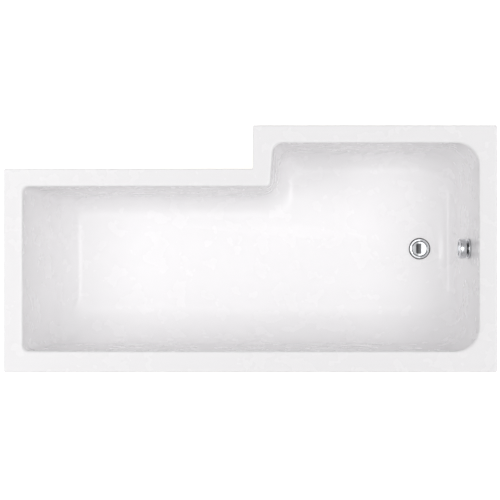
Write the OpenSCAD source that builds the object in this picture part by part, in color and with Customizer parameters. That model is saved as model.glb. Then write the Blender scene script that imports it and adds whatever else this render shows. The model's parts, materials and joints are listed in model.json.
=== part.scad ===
// L-shaped shower bath, millimetres. Origin on the ground under the middle of the rim's box.
// The room side, with the step, faces -Y. The wall side is +Y. The shower end is -X, the head end +X.

/* [Outside] */
// Length of the rim
bath_length = 1700; // [1600:10:1800]
// Width of the rim at the shower end
shower_width = 850; // [820:5:880]
// Width of the rim at the head end
narrow_width = 700; // [680:5:730]
// Length of the wide part, measured along the room side
shower_length = 842; // [800:1:900]
// Height of the rim above the ground
rim_height = 550; // [545:1:570]

/* [Rim] */
// Width of the deck on the room side
front_deck = 52; // [48:1:60]
// Width of the deck on the wall side
wall_deck = 63; // [55:1:70]
// Width of the deck at the head end
head_deck = 56; // [50:1:64]
// Width of the deck at the shower end
shower_deck = 53; // [50:1:60]
// Width of the deck beside the step, at its middle
step_deck = 57; // [54:1:62]
// How far the mouth leans out of square along the step
step_lean = 10; // [0:1:12]
// Rounding of the deck's outer edge
edge_r = 5; // [3:0.5:6]
// Corner radius of the rim seen from above
rim_corner_r = 7; // [6:1:12]
// Height of the turned-down lip
lip_h = 38; // [30:1:45]
// Rounding where the deck turns down into the basin
mouth_r = 9; // [7:0.5:12]

/* [Basin] */
// Depth of the basin at the edge of its floor
basin_depth = 397; // [380:1:400]
// Fall of the floor towards the waste
floor_fall = 8; // [4:1:12]
// Thickness of the acrylic
sheet = 5; // [4:0.5:6]
// Thickness of the glass-fibre laminate on the walls
laminate = 3; // [2:0.5:4]
// Lean of the room-side walls from upright, degrees
front_slope = 5.4; // [4:0.1:9]
// Lean of the step's wall, degrees
step_slope = 4.6; // [4:0.1:8]
// Lean of the backrest, degrees
head_slope = 22.5; // [20:0.1:25]
// Lean of the wall-side wall, degrees
wall_slope = 5.6; // [4:0.1:9]
// Lean of the shower-end wall, degrees
shower_slope = 12.4; // [10:0.1:14]
// How much the backrest flattens towards the floor, as a share of its lean
backrest_curve = 0.25; // [0:0.05:0.3]

/* [Coves] */
// Width and height of the cove on the room side
front_cove = [72, 82]; // [20:1:100]
// Width and height of the cove at the step
step_cove = [50, 74]; // [20:1:100]
// Width and height of the cove under the backrest
head_cove = [42, 80]; // [20:1:100]
// Width and height of the cove on the wall side
wall_cove = [126, 150]; // [20:1:165]
// Width and height of the cove at the shower end
shower_cove = [24, 45]; // [20:1:100]

/* [Corners] */
// Mouth radius between shower end and room side
shower_front_r = 80; // [60:1:90]
// Mouth radius between room side and step
step_front_r = 35; // [20:1:45]
// Mouth radius where the step meets the narrow part
step_back_r = 14; // [10:1:30]
// Mouth radius of both head corners
head_r = 20; // [12:1:40]
// Mouth radius between wall side and shower end
shower_wall_r = 85; // [60:1:95]
// How much the hollow corners grow from mouth to floor
corner_growth = 30; // [10:1:40]

/* [Frame] */
// Thickness of the baseboard
board_t = 18; // [15:1:20]
// Thickness of the timber battens under the rim
batten_h = 20; // [15:1:25]
// Width of the leg channels
channel_w = 40; // [36:1:50]
// Height of the leg channels
channel_h = 30; // [25:1:32]
// Steel thickness of channels and brackets
steel_t = 2; // [1.5:0.5:3]
// Shower end of the rim to the middle of the first leg channel
shower_channel_in = 450; // [420:5:490]
// Head end of the rim to the middle of the other leg channel
head_channel_in = 430; // [400:5:490]
// Middle foot, from halfway between the leg channels
centre_foot_off = [10, 42]; // [-60:1:60]
// Distance of the outer feet from the rim's outer edge
foot_inset = 75; // [70:1:90]
// Depth of the middle foot's bracket, as a share of the height under the baseboard
bracket_share = 0.336; // [0.29:0.01:0.37]

/* [Feet] */
// Diameter of the threaded studs
stud_d = 10; // [8:1:12]
// How far the studs stand above the channels
stud_top = 32; // [28:1:38]
// Diameter of the foot cups
cup_d = 50; // [40:1:60]
// Height of the foot cups
cup_h = 22; // [18:1:26]
// Width across the flats of the lock nuts
nut_flats = 17; // [15:1:19]
// Height of the lock nuts
nut_h = 8; // [6:0.5:10]

/* [Waste] */
// Distance of the waste from the shower end of the rim
waste_in = 265; // [250:1:290]
// Diameter of the chrome waste ring
waste_ring_d = 68; // [66:1:76]
// Diameter of the hole in the floor
waste_hole_d = 52; // [50:1:54]
// Bore of the waste ring's throat
throat_d = 40; // [36:1:41]
// Diameter of the plug's cap
plug_d = 50; // [48:0.5:51]
// Diameter of the plug's stem
plug_stem_d = 8; // [6:0.5:10]
// Lift of the plug
plug_lift = 10; // [8:0.5:11]
// Outer diameter of the outlet's pipe thread
outlet_d = 47.8; // [44:0.1:49]
// Distance from the plug's axis to the lever's shaft
lever_reach = 20; // [19:0.5:21]
// Diameter of the lever's shaft
lever_shaft_d = 6; // [5:0.5:7]

/* [Overflow] */
// Depth of the overflow's centre below the rim
overflow_depth = 155; // [145:1:165]
// Diameter of the rotary knob
knob_d = 68; // [62:1:72]
// Thickness of the rotary knob
knob_t = 23; // [16:1:26]
// Gap between knob and faceplate, where the water enters
knob_gap = 4; // [3:1:9]
// Diameter of the faceplate
faceplate_d = 70; // [66:1:74]
// Thickness of the faceplate
faceplate_t = 8; // [6:0.5:9]
// Diameter of the overflow hole
overflow_hole_d = 54; // [50:1:56]
// Diameter of the knob's spindle
spindle_d = 8; // [6:0.5:9]
// Turn of the knob that lifts the plug, degrees
knob_turn = 90; // [80:5:100]
// Radius of the cable drum
drum_r = 8; // [7:0.5:8.5]
// Outer diameter of the ribbed overflow hose
hose_d = 30; // [28:1:31]
// Bore of the hose and its spigots
hose_bore = 21; // [18:1:22]
// Rib spacing of the hose
rib_pitch = 6; // [5:0.5:8]
// Outer diameter of the cable's sheath
sheath_d = 5; // [4:0.5:6]

/* [Hidden] */
$fn = 48;

// Clearances
run_gap = 0.05;     // radial, between a turning or sliding shaft and its bore
hole_gap = 0.5;     // radial, round a screw or stud that passes freely
thread_gap = 0.1;   // radial, between mating threads, which are plain here
face_gap = 0.3;     // between faces that part when something moves
timber_gap = 2;     // between a batten and the shell beside it
eps = 0.5;          // overlap that lets a cut pass through a face

// Levels, measured up from the ground
deck_under = rim_height - sheet;
batten_z = deck_under - batten_h;
waste_z = rim_height - basin_depth - floor_fall;
waste_under = waste_z - sheet;
board_top = waste_under - laminate;
board_under = board_top - board_t;
bracket_drop = bracket_share * board_under;

// Outer outline of the rim and outline of the mouth: both start between shower end and
// room side and run counterclockwise, so side 0 is the wide front, then step, narrow front,
// head end, wall side and shower end.
x0 = -bath_length / 2;
x1 = bath_length / 2;
y0 = -shower_width / 2;
y1 = shower_width / 2;
step_x = x0 + shower_length;
narrow_y = y1 - narrow_width;
shower_channel_x = x0 + shower_channel_in;
head_channel_x = x1 - head_channel_in;
centre_foot = [(shower_channel_x + head_channel_x) / 2 + centre_foot_off[0], centre_foot_off[1]];
RIM = [[x0, y0], [step_x, y0], [step_x, narrow_y], [x1, narrow_y], [x1, y1], [x0, y1]];
MOUTH = [
    [x0 + shower_deck, y0 + front_deck],
    [step_x - step_deck - step_lean / 2, y0 + front_deck],
    [step_x - step_deck + step_lean / 2, narrow_y + front_deck],
    [x1 - head_deck, narrow_y + front_deck],
    [x1 - head_deck, y1 - wall_deck],
    [x0 + shower_deck, y1 - wall_deck],
];
SIDES = [0:5];
SLOPES = [front_slope, step_slope, front_slope, head_slope, wall_slope, shower_slope];
CURVES = [0, 0, 0, backrest_curve, 0, 0];
COVES = [front_cove, step_cove, front_cove, head_cove, wall_cove, shower_cove];
MOUTH_R = [shower_front_r, step_front_r, step_back_r, head_r, head_r, shower_wall_r];
back_growth = 60;   // growth of the corner where the step meets the narrow part
GROWTH = [corner_growth, corner_growth / 2, back_growth, corner_growth / 2, corner_growth, corner_growth];
ARC = 8;            // steps in each rounded corner

// Outlines with rounded corners
function unit(v) = v / norm(v);
function side_dir(base, i) = unit(base[(i + 1) % 6] - base[i]);
function inward(d) = [-d.y, d.x];
function meet(p, d, q, e) = p + d * cross(q - p, e) / cross(d, e);
function moved_corners(base, insets) = [for (i = SIDES)
    let (j = (i + 5) % 6, d = side_dir(base, j), e = side_dir(base, i))
    meet(base[j] + inward(d) * insets[j], d, base[i] + inward(e) * insets[i], e)];
function corner_arc(before, at, after, r) =
    let (
        u = unit(before - at),
        v = unit(after - at),
        half = acos(u * v) / 2,
        centre = at + unit(u + v) * r / sin(half),
        start = at + u * r / tan(half) - centre,
        turn = cross(at - before, after - at) > 0 ? 180 - 2 * half : 2 * half - 180,
        a = atan2(start.y, start.x)
    )
    [for (k = [0:ARC]) centre + r * [cos(a + turn * k / ARC), sin(a + turn * k / ARC)]];
// Points added along each straight side, so that the floor stays flat round the waste
BETWEEN = [1, 0, 0, 0, 3, 3];
function outline(base, insets, radii) =
    let (
        c = moved_corners(base, insets),
        arcs = [for (i = SIDES) corner_arc(c[(i + 5) % 6], c[i], c[(i + 1) % 6], radii[i])]
    )
    [for (i = SIDES) let (a = arcs[i][ARC], b = arcs[(i + 1) % 6][0], parts = BETWEEN[i] + 1) each concat(
        arcs[i], [for (k = [1:1:BETWEEN[i]]) a + (b - a) * k / parts])];
function all_sides(w) = [for (i = SIDES) w];

// Wall profile: how far side i stands in from the mouth at a depth, for a surface that lies
// back from the basin's own face by wall_t on the walls and floor_t under the floor
function lean_in(i, d) = tan(SLOPES[i]) * d * (1 - CURVES[i] * (1 - d / basin_depth));
function lean_start(i) = tan(SLOPES[i]) * (1 - CURVES[i]);
function back_off(i, wall_t) = wall_t / cos(SLOPES[i]);
function cove_in(i, d, wall_t, floor_t) =
    let (
        end = basin_depth + floor_t,
        h = COVES[i][1] + floor_t,
        w = COVES[i][0] + back_off(i, wall_t) - lean_in(i, end) + lean_in(i, basin_depth),
        v = max(0, min(1, (d - end + h) / h))
    )
    w * (1 - sqrt(1 - v * v));
function wall_in(i, d, wall_t, floor_t) =
    mouth_r - back_off(i, wall_t) + lean_in(i, d) + cove_in(i, d, wall_t, floor_t);
function grown_r(i, d) = MOUTH_R[i] + GROWTH[i] * d / basin_depth;
function wall_ring(d, wall_t, floor_t) = raised(
    outline(MOUTH, [for (i = SIDES) wall_in(i, d, wall_t, floor_t)], [for (i = SIDES) grown_r(i, d)]),
    rim_height - d);
function raised(points, z) = [for (p = points) [p.x, p.y, z]];

// Depths at which the walls are drawn
tall_cove = max([for (c = COVES) c[1]]);
laminate_start = 45;
COVE_STEPS = [0, 15, 30, 42, 54, 64, 72, 79, 85, 90];
function wall_depths(floor_t) =
    let (end = basin_depth + floor_t, h = tall_cove + floor_t)
    [laminate_start, (laminate_start + end - h) / 2, for (a = COVE_STEPS) end - h + h * sin(a)];

// Mouth rounding, from the deck down to the wall, for the upper face (t = 0) or the under face,
// which lies t lower and takes a tighter bend
under_bend = 0.8;   // how much tighter, as a share of the sheet's thickness
function mouth_drop(t) = mouth_r - under_bend * t;
function mouth_ring(u, t) =
    let (
        insets = [for (i = SIDES)
            let (start = mouth_r - back_off(i, t), bend = start + lean_start(i) * t)
            2 * u * (1 - u) * bend + u * u * (bend + lean_start(i) * mouth_drop(t))]
    )
    raised(outline(MOUTH, insets, MOUTH_R), rim_height - t - u * u * mouth_drop(t));
MOUTH_STEPS = [0, 0.3, 0.55, 0.78, 1];

// Floor rings, from the foot of the walls to a flat circle round the waste
waste_x = x0 + waste_in;
WASTE = [waste_x, 0];
flat_r = 56;
FLOOR_STEPS = [0.15, 0.4, 0.7, 1];
function floor_ring(f, wall_t, floor_t, fall) =
    let (edge = wall_ring(basin_depth + floor_t, wall_t, floor_t))
    [for (p = edge)
        let (flat = [p.x, p.y], rim = WASTE + unit(flat - WASTE) * flat_r, q = flat + (rim - flat) * f)
        [q.x, q.y, p.z - fall * f]];

// A closed skin: rings down to a centre point, then rings from a second centre point back up
RING = 6 * (ARC + 1) + BETWEEN * [for (i = SIDES) 1];
module skin(down, up, z_down, z_up) {
    rings = concat(down, up);
    nd = len(down);
    nu = len(up);
    last = len(rings) * RING;
    points = concat([for (r = rings) each r], [[waste_x, 0, z_down], [waste_x, 0, z_up]]);
    faces = concat(
        [for (k = [0:nd - 2]) each band(k, k + 1, false)],
        [for (i = [0:RING - 1]) [(nd - 1) * RING + i, (nd - 1) * RING + (i + 1) % RING, last]],
        [for (i = [0:RING - 1]) [nd * RING + (i + 1) % RING, nd * RING + i, last + 1]],
        [for (k = [nd:nd + nu - 2]) each band(k, k + 1, true)],
        band(nd + nu - 1, 0, true)
    );
    polyhedron(points, [for (f = faces) [f[2], f[1], f[0]]]);
}
// Triangles between two rings: the diagonal follows the surface whichever way the rings run
function band(a, b, rising) = [for (i = [0:RING - 1])
    let (j = (i + 1) % RING, a0 = a * RING + i, a1 = a * RING + j, b0 = b * RING + i, b1 = b * RING + j)
    each (rising ? [[a0, a1, b1], [a0, b1, b0]] : [[a0, a1, b0], [a1, b1, b0]])];
function backwards(list) = [for (k = [len(list) - 1:-1:0]) list[k]];

// Places
overflow_x = MOUTH[0].x + mouth_r + lean_in(5, overflow_depth);
overflow_z = rim_height - overflow_depth;
// Frame of the overflow: its Z points out of the wall into the basin, its X down the wall
module at_overflow() {
    translate([overflow_x, 0, overflow_z]) rotate([0, 90 - shower_slope, 0]) children();
}
module at_waste(z = 0) {
    translate([waste_x, 0, z]) children();
}
OUT_DOWN = [sin(shower_slope), 0, -cos(shower_slope)];
OUT_IN = [cos(shower_slope), 0, sin(shower_slope)];
function overflow_point(down, side, out) =
    [overflow_x, side, overflow_z] + OUT_DOWN * down + OUT_IN * out;

module ring(outer_r, inner_r, z, h) {
    translate([0, 0, z]) difference() {
        cylinder(r = outer_r, h = h);
        translate([0, 0, -eps]) cylinder(r = inner_r, h = h + 2 * eps);
    }
}

// Shell and laminate
laminate_hole_r = 46;
overflow_spot_r = 40;

module bath_shell() {
    lip_z = rim_height - lip_h;
    edge_steps = [0, 30, 60, 90];
    down = [
        raised(outline(RIM, all_sides(0), all_sides(rim_corner_r)), lip_z),
        for (a = edge_steps) raised(
            outline(RIM, all_sides(edge_r * (1 - cos(a))), all_sides(rim_corner_r - edge_r * (1 - cos(a)))),
            rim_height - edge_r + edge_r * sin(a)),
        for (u = MOUTH_STEPS) mouth_ring(u, 0),
        for (d = wall_depths(0)) wall_ring(d, 0, 0),
        for (f = FLOOR_STEPS) floor_ring(f, 0, 0, floor_fall),
    ];
    up = [
        for (f = backwards(FLOOR_STEPS)) floor_ring(f, sheet, sheet, floor_fall),
        for (d = backwards(wall_depths(sheet))) wall_ring(d, sheet, sheet),
        for (u = backwards(MOUTH_STEPS)) mouth_ring(u, sheet),
        raised(outline(RIM, all_sides(sheet), all_sides(rim_corner_r - sheet)), deck_under),
        raised(outline(RIM, all_sides(sheet), all_sides(rim_corner_r - sheet)), lip_z),
    ];
    color("white") difference() {
        skin(down, up, waste_z, waste_under);
        at_waste(waste_under - eps) cylinder(d = waste_hole_d, h = sheet + 2 * eps);
        at_overflow() translate([0, 0, -3 * sheet]) cylinder(d = overflow_hole_d, h = 5 * sheet);
    }
}

module grp_reinforcement() {
    back_t = sheet + laminate;
    bed_t = floor_fall + sheet + laminate;
    down = [
        for (d = wall_depths(sheet)) wall_ring(d, sheet, sheet),
        for (f = FLOOR_STEPS) floor_ring(f, sheet, sheet, floor_fall),
    ];
    up = [
        for (f = backwards(FLOOR_STEPS)) floor_ring(f, back_t, bed_t, 0),
        for (d = backwards(wall_depths(bed_t))) wall_ring(d, back_t, bed_t),
    ];
    color("wheat") difference() {
        skin(down, up, waste_under, board_top);
        at_waste(board_top - eps) cylinder(r = laminate_hole_r, h = floor_fall + laminate);
        at_overflow() translate([0, 0, -3 * back_t]) cylinder(r = overflow_spot_r, h = 5 * back_t);
    }
}

// Baseboard, flat under the laminate
board_margin = 6;
board_hole_r = 60;
board_r = 15;
BOARD = moved_corners(MOUTH, [for (i = SIDES)
    wall_in(i, basin_depth + floor_fall + sheet + laminate, sheet + laminate,
        floor_fall + sheet + laminate) + board_margin]);

module baseboard() {
    color("tan") difference() {
        translate([0, 0, board_under])
            linear_extrude(board_t) polygon(outline(BOARD, all_sides(0), all_sides(board_r)));
        at_waste(board_under - eps) cylinder(r = board_hole_r, h = board_t + 2 * eps);
        for (p = LEG_SCREWS) translate([p.x, p.y, board_under - eps])
            cylinder(r = leg_screw_r, h = leg_screw_depth + eps);
    }
}

// Battens: [near corner, far corner] of each, seen from above
batten_edge = sheet + timber_gap;
function batten_y0(y, deck) = [y + batten_edge, y + deck - timber_gap];
outer_x0 = x0 + batten_edge;
outer_x1 = x1 - batten_edge;
outer_y1 = y1 - batten_edge;
wall_batten_y = y1 - wall_deck + timber_gap;
front_batten_y = y0 + front_deck - timber_gap;
narrow_batten_y = narrow_y + front_deck - timber_gap;
step_batten_x = MOUTH[2].x + timber_gap + step_lean / 4;
shower_batten_x = x0 + shower_deck - timber_gap;
head_batten_x = x1 - head_deck + timber_gap;
BATTENS = [
    [[head_batten_x, narrow_batten_y + timber_gap], [outer_x1, wall_batten_y - timber_gap]],
    [[outer_x0, wall_batten_y], [outer_x1, outer_y1]],
    [[outer_x0, front_batten_y + timber_gap], [shower_batten_x, wall_batten_y - timber_gap]],
    [[outer_x0, y0 + batten_edge], [step_x - batten_edge, front_batten_y]],
    [[step_batten_x, front_batten_y + timber_gap],
     [step_x - batten_edge, narrow_y + batten_edge - timber_gap]],
    [[step_batten_x, narrow_y + batten_edge], [outer_x1, narrow_batten_y]],
];
module batten(k) {
    a = BATTENS[k][0];
    b = BATTENS[k][1];
    color("burlywood") difference() {
        translate([a.x, a.y, batten_z]) cube([b.x - a.x, b.y - a.y, batten_h]);
        for (p = BRACKETS) placed(p) for (s = [-1, 1])
            translate([s * bracket_hole_x, bracket_hole_y, batten_z - eps])
                cylinder(r = bracket_screw_r, h = bracket_screw_depth + eps);
    }
}

// Leg channels, open downwards, across the bath
channel_over = 25;
CHANNELS = [
    [shower_channel_x, y0 + foot_inset, y1 - foot_inset],
    [head_channel_x, narrow_y + foot_inset, y1 - foot_inset],
];
leg_screw_r = 2.4;
leg_screw_head_r = 4.5;
leg_screw_head_h = 3;
leg_screw_depth = 14;
leg_screw_edge = 40;
BOARD_Y1 = BOARD[4].y;
function board_y0(x) = x < BOARD[1].x ? BOARD[0].y : BOARD[3].y;
bracket_foot = 24;   // width of the centre bracket's screwed flanges
bracket_half = 30;   // half the width of its lower plate
bracket_screw_off = 12;
LEG_SCREWS = concat(
    [for (c = CHANNELS, f = [0, 0.5, 1])
        let (a = board_y0(c[0]) + leg_screw_edge, b = BOARD_Y1 - leg_screw_edge)
        [c[0], a + (b - a) * f, board_under - steel_t]],
    [for (sx = [-1, 1], sy = [-1, 1])
        [centre_foot.x + sx * (bracket_half + bracket_foot / 2), centre_foot.y + sy * bracket_screw_off,
         board_under - steel_t]]
);

module leg_channel(c) {
    near = c[1] - channel_over;
    length = c[2] - c[1] + 2 * channel_over;
    color("lightsteelblue") difference() {
        translate([c[0] - channel_w / 2, near, board_under - channel_h])
            cube([channel_w, length, channel_h]);
        translate([c[0] - channel_w / 2 + steel_t, near - eps, board_under - channel_h - eps])
            cube([channel_w - 2 * steel_t, length + 2 * eps, channel_h - steel_t + eps]);
        for (y = [c[1], c[2]]) translate([c[0], y, board_under - steel_t - eps])
            cylinder(r = stud_d / 2 + hole_gap, h = steel_t + 2 * eps);
        for (p = LEG_SCREWS) translate([p.x, p.y, p.z - eps])
            cylinder(r = leg_screw_r, h = steel_t + 2 * eps);
    }
}

module centre_bracket() {
    length = 40;
    plate_z = board_under - bracket_drop;
    color("lightsteelblue") difference() {
        translate([centre_foot.x, centre_foot.y, 0]) difference() {
            union() {
                translate([-bracket_half, -length / 2, plate_z]) cube([2 * bracket_half, length, bracket_drop]);
                translate([-bracket_half - bracket_foot, -length / 2, board_under - steel_t])
                    cube([2 * (bracket_half + bracket_foot), length, steel_t]);
            }
            translate([steel_t - bracket_half, -length / 2 - eps, plate_z + steel_t])
                cube([2 * (bracket_half - steel_t), length + 2 * eps, bracket_drop]);
            translate([0, 0, plate_z - eps]) cylinder(r = stud_d / 2 + hole_gap, h = steel_t + 2 * eps);
        }
        for (p = LEG_SCREWS) translate([p.x, p.y, p.z - eps])
            cylinder(r = leg_screw_r, h = steel_t + 2 * eps);
    }
}

module leg_screws() {
    color("silver") for (p = LEG_SCREWS) translate(p) {
        cylinder(r = leg_screw_r, h = leg_screw_depth + steel_t);
        translate([0, 0, -leg_screw_head_h])
            cylinder(r1 = leg_screw_head_r - 1, r2 = leg_screw_head_r, h = leg_screw_head_h);
    }
}

// Feet: [x, y, level of the plate's top, plate's top to the stud's top]
centre_plate_top = board_under - bracket_drop + steel_t;
centre_stud_top = 20;
FEET = [
    [CHANNELS[0][0], CHANNELS[0][1], board_under, stud_top],
    [CHANNELS[0][0], CHANNELS[0][2], board_under, stud_top],
    [CHANNELS[1][0], CHANNELS[1][1], board_under, stud_top],
    [CHANNELS[1][0], CHANNELS[1][2], board_under, stud_top],
    [centre_foot.x, centre_foot.y, centre_plate_top, centre_stud_top],
];
cup_floor = 10;      // thickness of plastic under the stud

module foot_nuts() {
    nut_r = nut_flats / 2 / cos(30);
    color("silver") for (f = FEET, z = [f[2], f[2] - steel_t - nut_h]) translate([f[0], f[1], z]) difference() {
        cylinder(r = nut_r, h = nut_h, $fn = 6);
        translate([0, 0, -eps]) cylinder(r = stud_d / 2 + run_gap, h = nut_h + 2 * eps);
    }
}

module foot_stud(f) {
    color("silver") translate([f[0], f[1], cup_floor]) cylinder(d = stud_d, h = f[2] + f[3] - cup_floor);
}

module foot_cup(f) {
    collar_r = stud_d / 2 + 5;
    flange_h = 6;
    color("dimgray") translate([f[0], f[1], 0]) difference() {
        rotate_extrude() polygon([
            [0, 0], [cup_d / 2 - 1, 0], [cup_d / 2, 1], [cup_d / 2, flange_h - 1],
            [cup_d / 2 - 1, flange_h], [collar_r + 3, flange_h + 2], [collar_r, cup_h - 2],
            [collar_r - 1, cup_h], [0, cup_h],
        ]);
        translate([0, 0, cup_floor]) cylinder(r = stud_d / 2 + thread_gap, h = cup_h);
    }
}

// Wall brackets: [x, y, turn], at the outer face of the rim, turned so that their Y points in
bracket_w = 40;
bracket_leg = 32;
bracket_low = 85;    // from the rim's top to the bracket's lower end
bracket_jog = lip_h + 7;
bracket_in = batten_edge;
bracket_hole_x = 11;
bracket_hole_y = bracket_in + 17;
bracket_screw_r = 2;
bracket_screw_depth = 14;
wall_screw_hole_r = 3.25;
end_bracket_in = 190;  // from the wall side to the middle of the shower end's bracket
BRACKETS = [
    [shower_channel_x, y1, 180], [head_channel_x, y1, 180],
    [x0, y1 - end_bracket_in, -90], [x1, (narrow_y + y1) / 2, 90],
];
module placed(p) {
    translate([p[0], p[1], 0]) rotate([0, 0, p[2]]) children();
}
module wall_brackets() {
    under = batten_z;
    jog = rim_height - bracket_jog;
    low = rim_height - bracket_low;
    hole_z = (jog + low) / 2 - 3;
    color("lightsteelblue") for (p = BRACKETS) placed(p) difference() {
        translate([-bracket_w / 2, 0, 0]) rotate([90, 0, 90]) linear_extrude(bracket_w) polygon([
            [bracket_in, under], [bracket_in, jog], [0, jog], [0, low], [steel_t, low],
            [steel_t, jog - steel_t], [bracket_in + steel_t, jog - steel_t],
            [bracket_in + steel_t, under - steel_t], [bracket_in + bracket_leg, under - steel_t],
            [bracket_in + bracket_leg, under],
        ]);
        for (s = [-1, 1]) translate([s * bracket_hole_x, bracket_hole_y, under - steel_t - eps])
            cylinder(r = bracket_screw_r, h = steel_t + 2 * eps);
        translate([0, -eps, hole_z]) rotate([-90, 0, 0])
            cylinder(r = wall_screw_hole_r, h = steel_t + 2 * eps);
    }
}
module bracket_screws() {
    color("silver") for (p = BRACKETS, s = [-1, 1])
        placed(p) translate([s * bracket_hole_x, bracket_hole_y, batten_z - steel_t]) {
            cylinder(r = bracket_screw_r, h = bracket_screw_depth + steel_t);
            translate([0, 0, -2.5]) cylinder(r1 = 3, r2 = 4, h = 2.5);
        }
}

// Waste: levels from the bath's floor down
seal_t = 1;
seal_over = 3;       // how far the top seal shows round the ring
ring_h = 4.5;
ring_dish = 1;       // fall of the ring's top towards the plug
ring_r = waste_ring_d / 2;
recess_r = plug_d / 2 + 1.5;
throat_r = throat_d / 2;
throat_out = waste_hole_d / 2 - 2;
throat_len = 30;
bottom_seal_t = 4;
body_flange_r = 43;
body_flange_t = 6;
chamber_r = 31;
body_wall = 5;
chamber_roof = 4;
throat_end = waste_z - throat_len;
body_top = waste_under - bottom_seal_t;
neck_end = body_top - 18;
chamber_end = neck_end - 37;
body_end = chamber_end - 7;
outlet_len = 36;
port_z = chamber_end + 16;
guide_t = 6;
guide_z = throat_end + 3;
// The plug's seat slopes down to the throat; its levels are counted from the ring's underside
seat_z = -0.4;
seat_rise = 0.2;
plug_seal_top = 1.6;
plug_socket = 2;

module waste_top_seal() {
    color("dimgray") at_waste() ring(ring_r + seal_over, waste_hole_d / 2 + 1, waste_z, seal_t);
}
module waste_flange() {
    z = waste_z + seal_t;
    color("silver") at_waste() difference() {
        union() {
            translate([0, 0, z]) rotate_extrude($fn = 96) polygon([
                [throat_r, throat_end - z], [throat_out, throat_end - z], [throat_out, 0], [ring_r, 0],
                [ring_r, ring_h - 1.5], [ring_r - 0.7, ring_h - 0.4], [ring_r - 1.7, ring_h],
                [recess_r + 1, ring_h - ring_dish], [recess_r, ring_h - ring_dish - 1],
                [recess_r, seat_z + seat_rise * (recess_r - throat_r - 1)], [throat_r + 1, seat_z],
                [throat_r, seat_z - 1],
            ]);
            translate([0, 0, guide_z]) cylinder(r = plug_stem_d / 2 + 4, h = guide_t);
            for (a = [45, 135]) rotate([0, 0, a]) translate([-throat_r - 1, -1.5, guide_z])
                cube([2 * throat_r + 2, 3, guide_t]);
        }
        translate([0, 0, guide_z - eps]) cylinder(r = plug_stem_d / 2 + run_gap, h = guide_t + 2 * eps);
    }
}
module waste_bottom_seal() {
    color("dimgray") at_waste()
        ring(body_flange_r, waste_hole_d / 2 + 1, waste_under - bottom_seal_t, bottom_seal_t);
}

// Lever that lifts the plug. At rest it hangs down by half its swing.
lever_swing = 2 * asin(plug_lift / 2 / lever_reach);
tip_r = 3;
lever_z = throat_end - tip_r - plug_lift / 2 + 1.5;
tip_top = lever_z - plug_lift / 2 + tip_r;
stem_end = tip_top + face_gap;
crank_arm = drum_r * knob_turn / lever_swing;
crank_y = -43;
crank_t = 4;
wire_y = crank_y - crank_t / 2 - 4.5;
shaft_in = 8;
boss_r = lever_shaft_d / 2 + 4;
boss_end = -(chamber_r + body_wall) - 3;
LEVER = [waste_x + lever_reach, 0, lever_z];
module at_lever() {
    translate(LEVER) rotate([0, -lever_swing / 2, 0]) children();
}
module across(r, y_from, y_to) {
    translate([0, y_from, 0]) rotate([-90, 0, 0]) cylinder(r = r, h = y_to - y_from);
}

// Place of the pull wire's pin and of the cable guide beside the waste body
pin_x = LEVER.x + crank_arm * sin(lever_swing / 2);
pin_z = lever_z - crank_arm * cos(lever_swing / 2);
guide_mid_z = lever_z - crank_arm * (1 + cos(lever_swing / 2)) / 2;
guide_len = 44;
guide_to = waste_x - lever_shaft_d;
guide_from = guide_to - guide_len;
guide_r = 3.5;
guide_bore = 1.8;
wire_r = 0.8;
wire_in = 18;        // how far inside the guide the wire ends
pin_r = 1.5;
lug_w = 12;
lug_h = 14;
lug_x = guide_to - lug_w - 2;

module waste_body() {
    color("whitesmoke") difference() {
        union() {
            at_waste() {
                translate([0, 0, body_top - body_flange_t]) cylinder(r = body_flange_r, h = body_flange_t);
                translate([0, 0, neck_end]) cylinder(r = throat_out + body_wall, h = body_top - neck_end);
                translate([0, 0, body_end]) cylinder(r = chamber_r + body_wall, h = neck_end - body_end);
                translate([0, 0, body_end - outlet_len]) cylinder(d = outlet_d, h = outlet_len + eps);
                translate([0, 0, port_z]) rotate([0, -90, 0]) cylinder(r = spigot_r, h = port_len);
            }
            translate(LEVER) across(boss_r, boss_end, -chamber_r / 2);
            translate([lug_x, wire_y - guide_r - 3, guide_mid_z - lug_h / 2])
                cube([lug_w, -wire_y - chamber_r + lug_w, lug_h]);
        }
        at_waste() {
            translate([0, 0, neck_end - eps])
                cylinder(r = throat_out + thread_gap, h = body_top - neck_end + 2 * eps);
            translate([0, 0, chamber_end]) cylinder(r = chamber_r, h = neck_end - chamber_end - chamber_roof);
            translate([0, 0, neck_end - chamber_roof - eps])
                cylinder(r = throat_out + thread_gap, h = chamber_roof + 2 * eps);
            translate([0, 0, body_end - outlet_len - eps])
                cylinder(r = throat_r, h = outlet_len + body_wall + 10);
            translate([0, 0, port_z]) rotate([0, -90, 0]) cylinder(d = hose_bore, h = port_len + eps);
        }
        translate(LEVER) across(lever_shaft_d / 2 + run_gap, boss_end - eps, 0);
        translate([guide_from, wire_y, guide_mid_z]) rotate([0, 90, 0])
            cylinder(r = guide_r, h = guide_to - guide_from + eps);
    }
}

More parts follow.
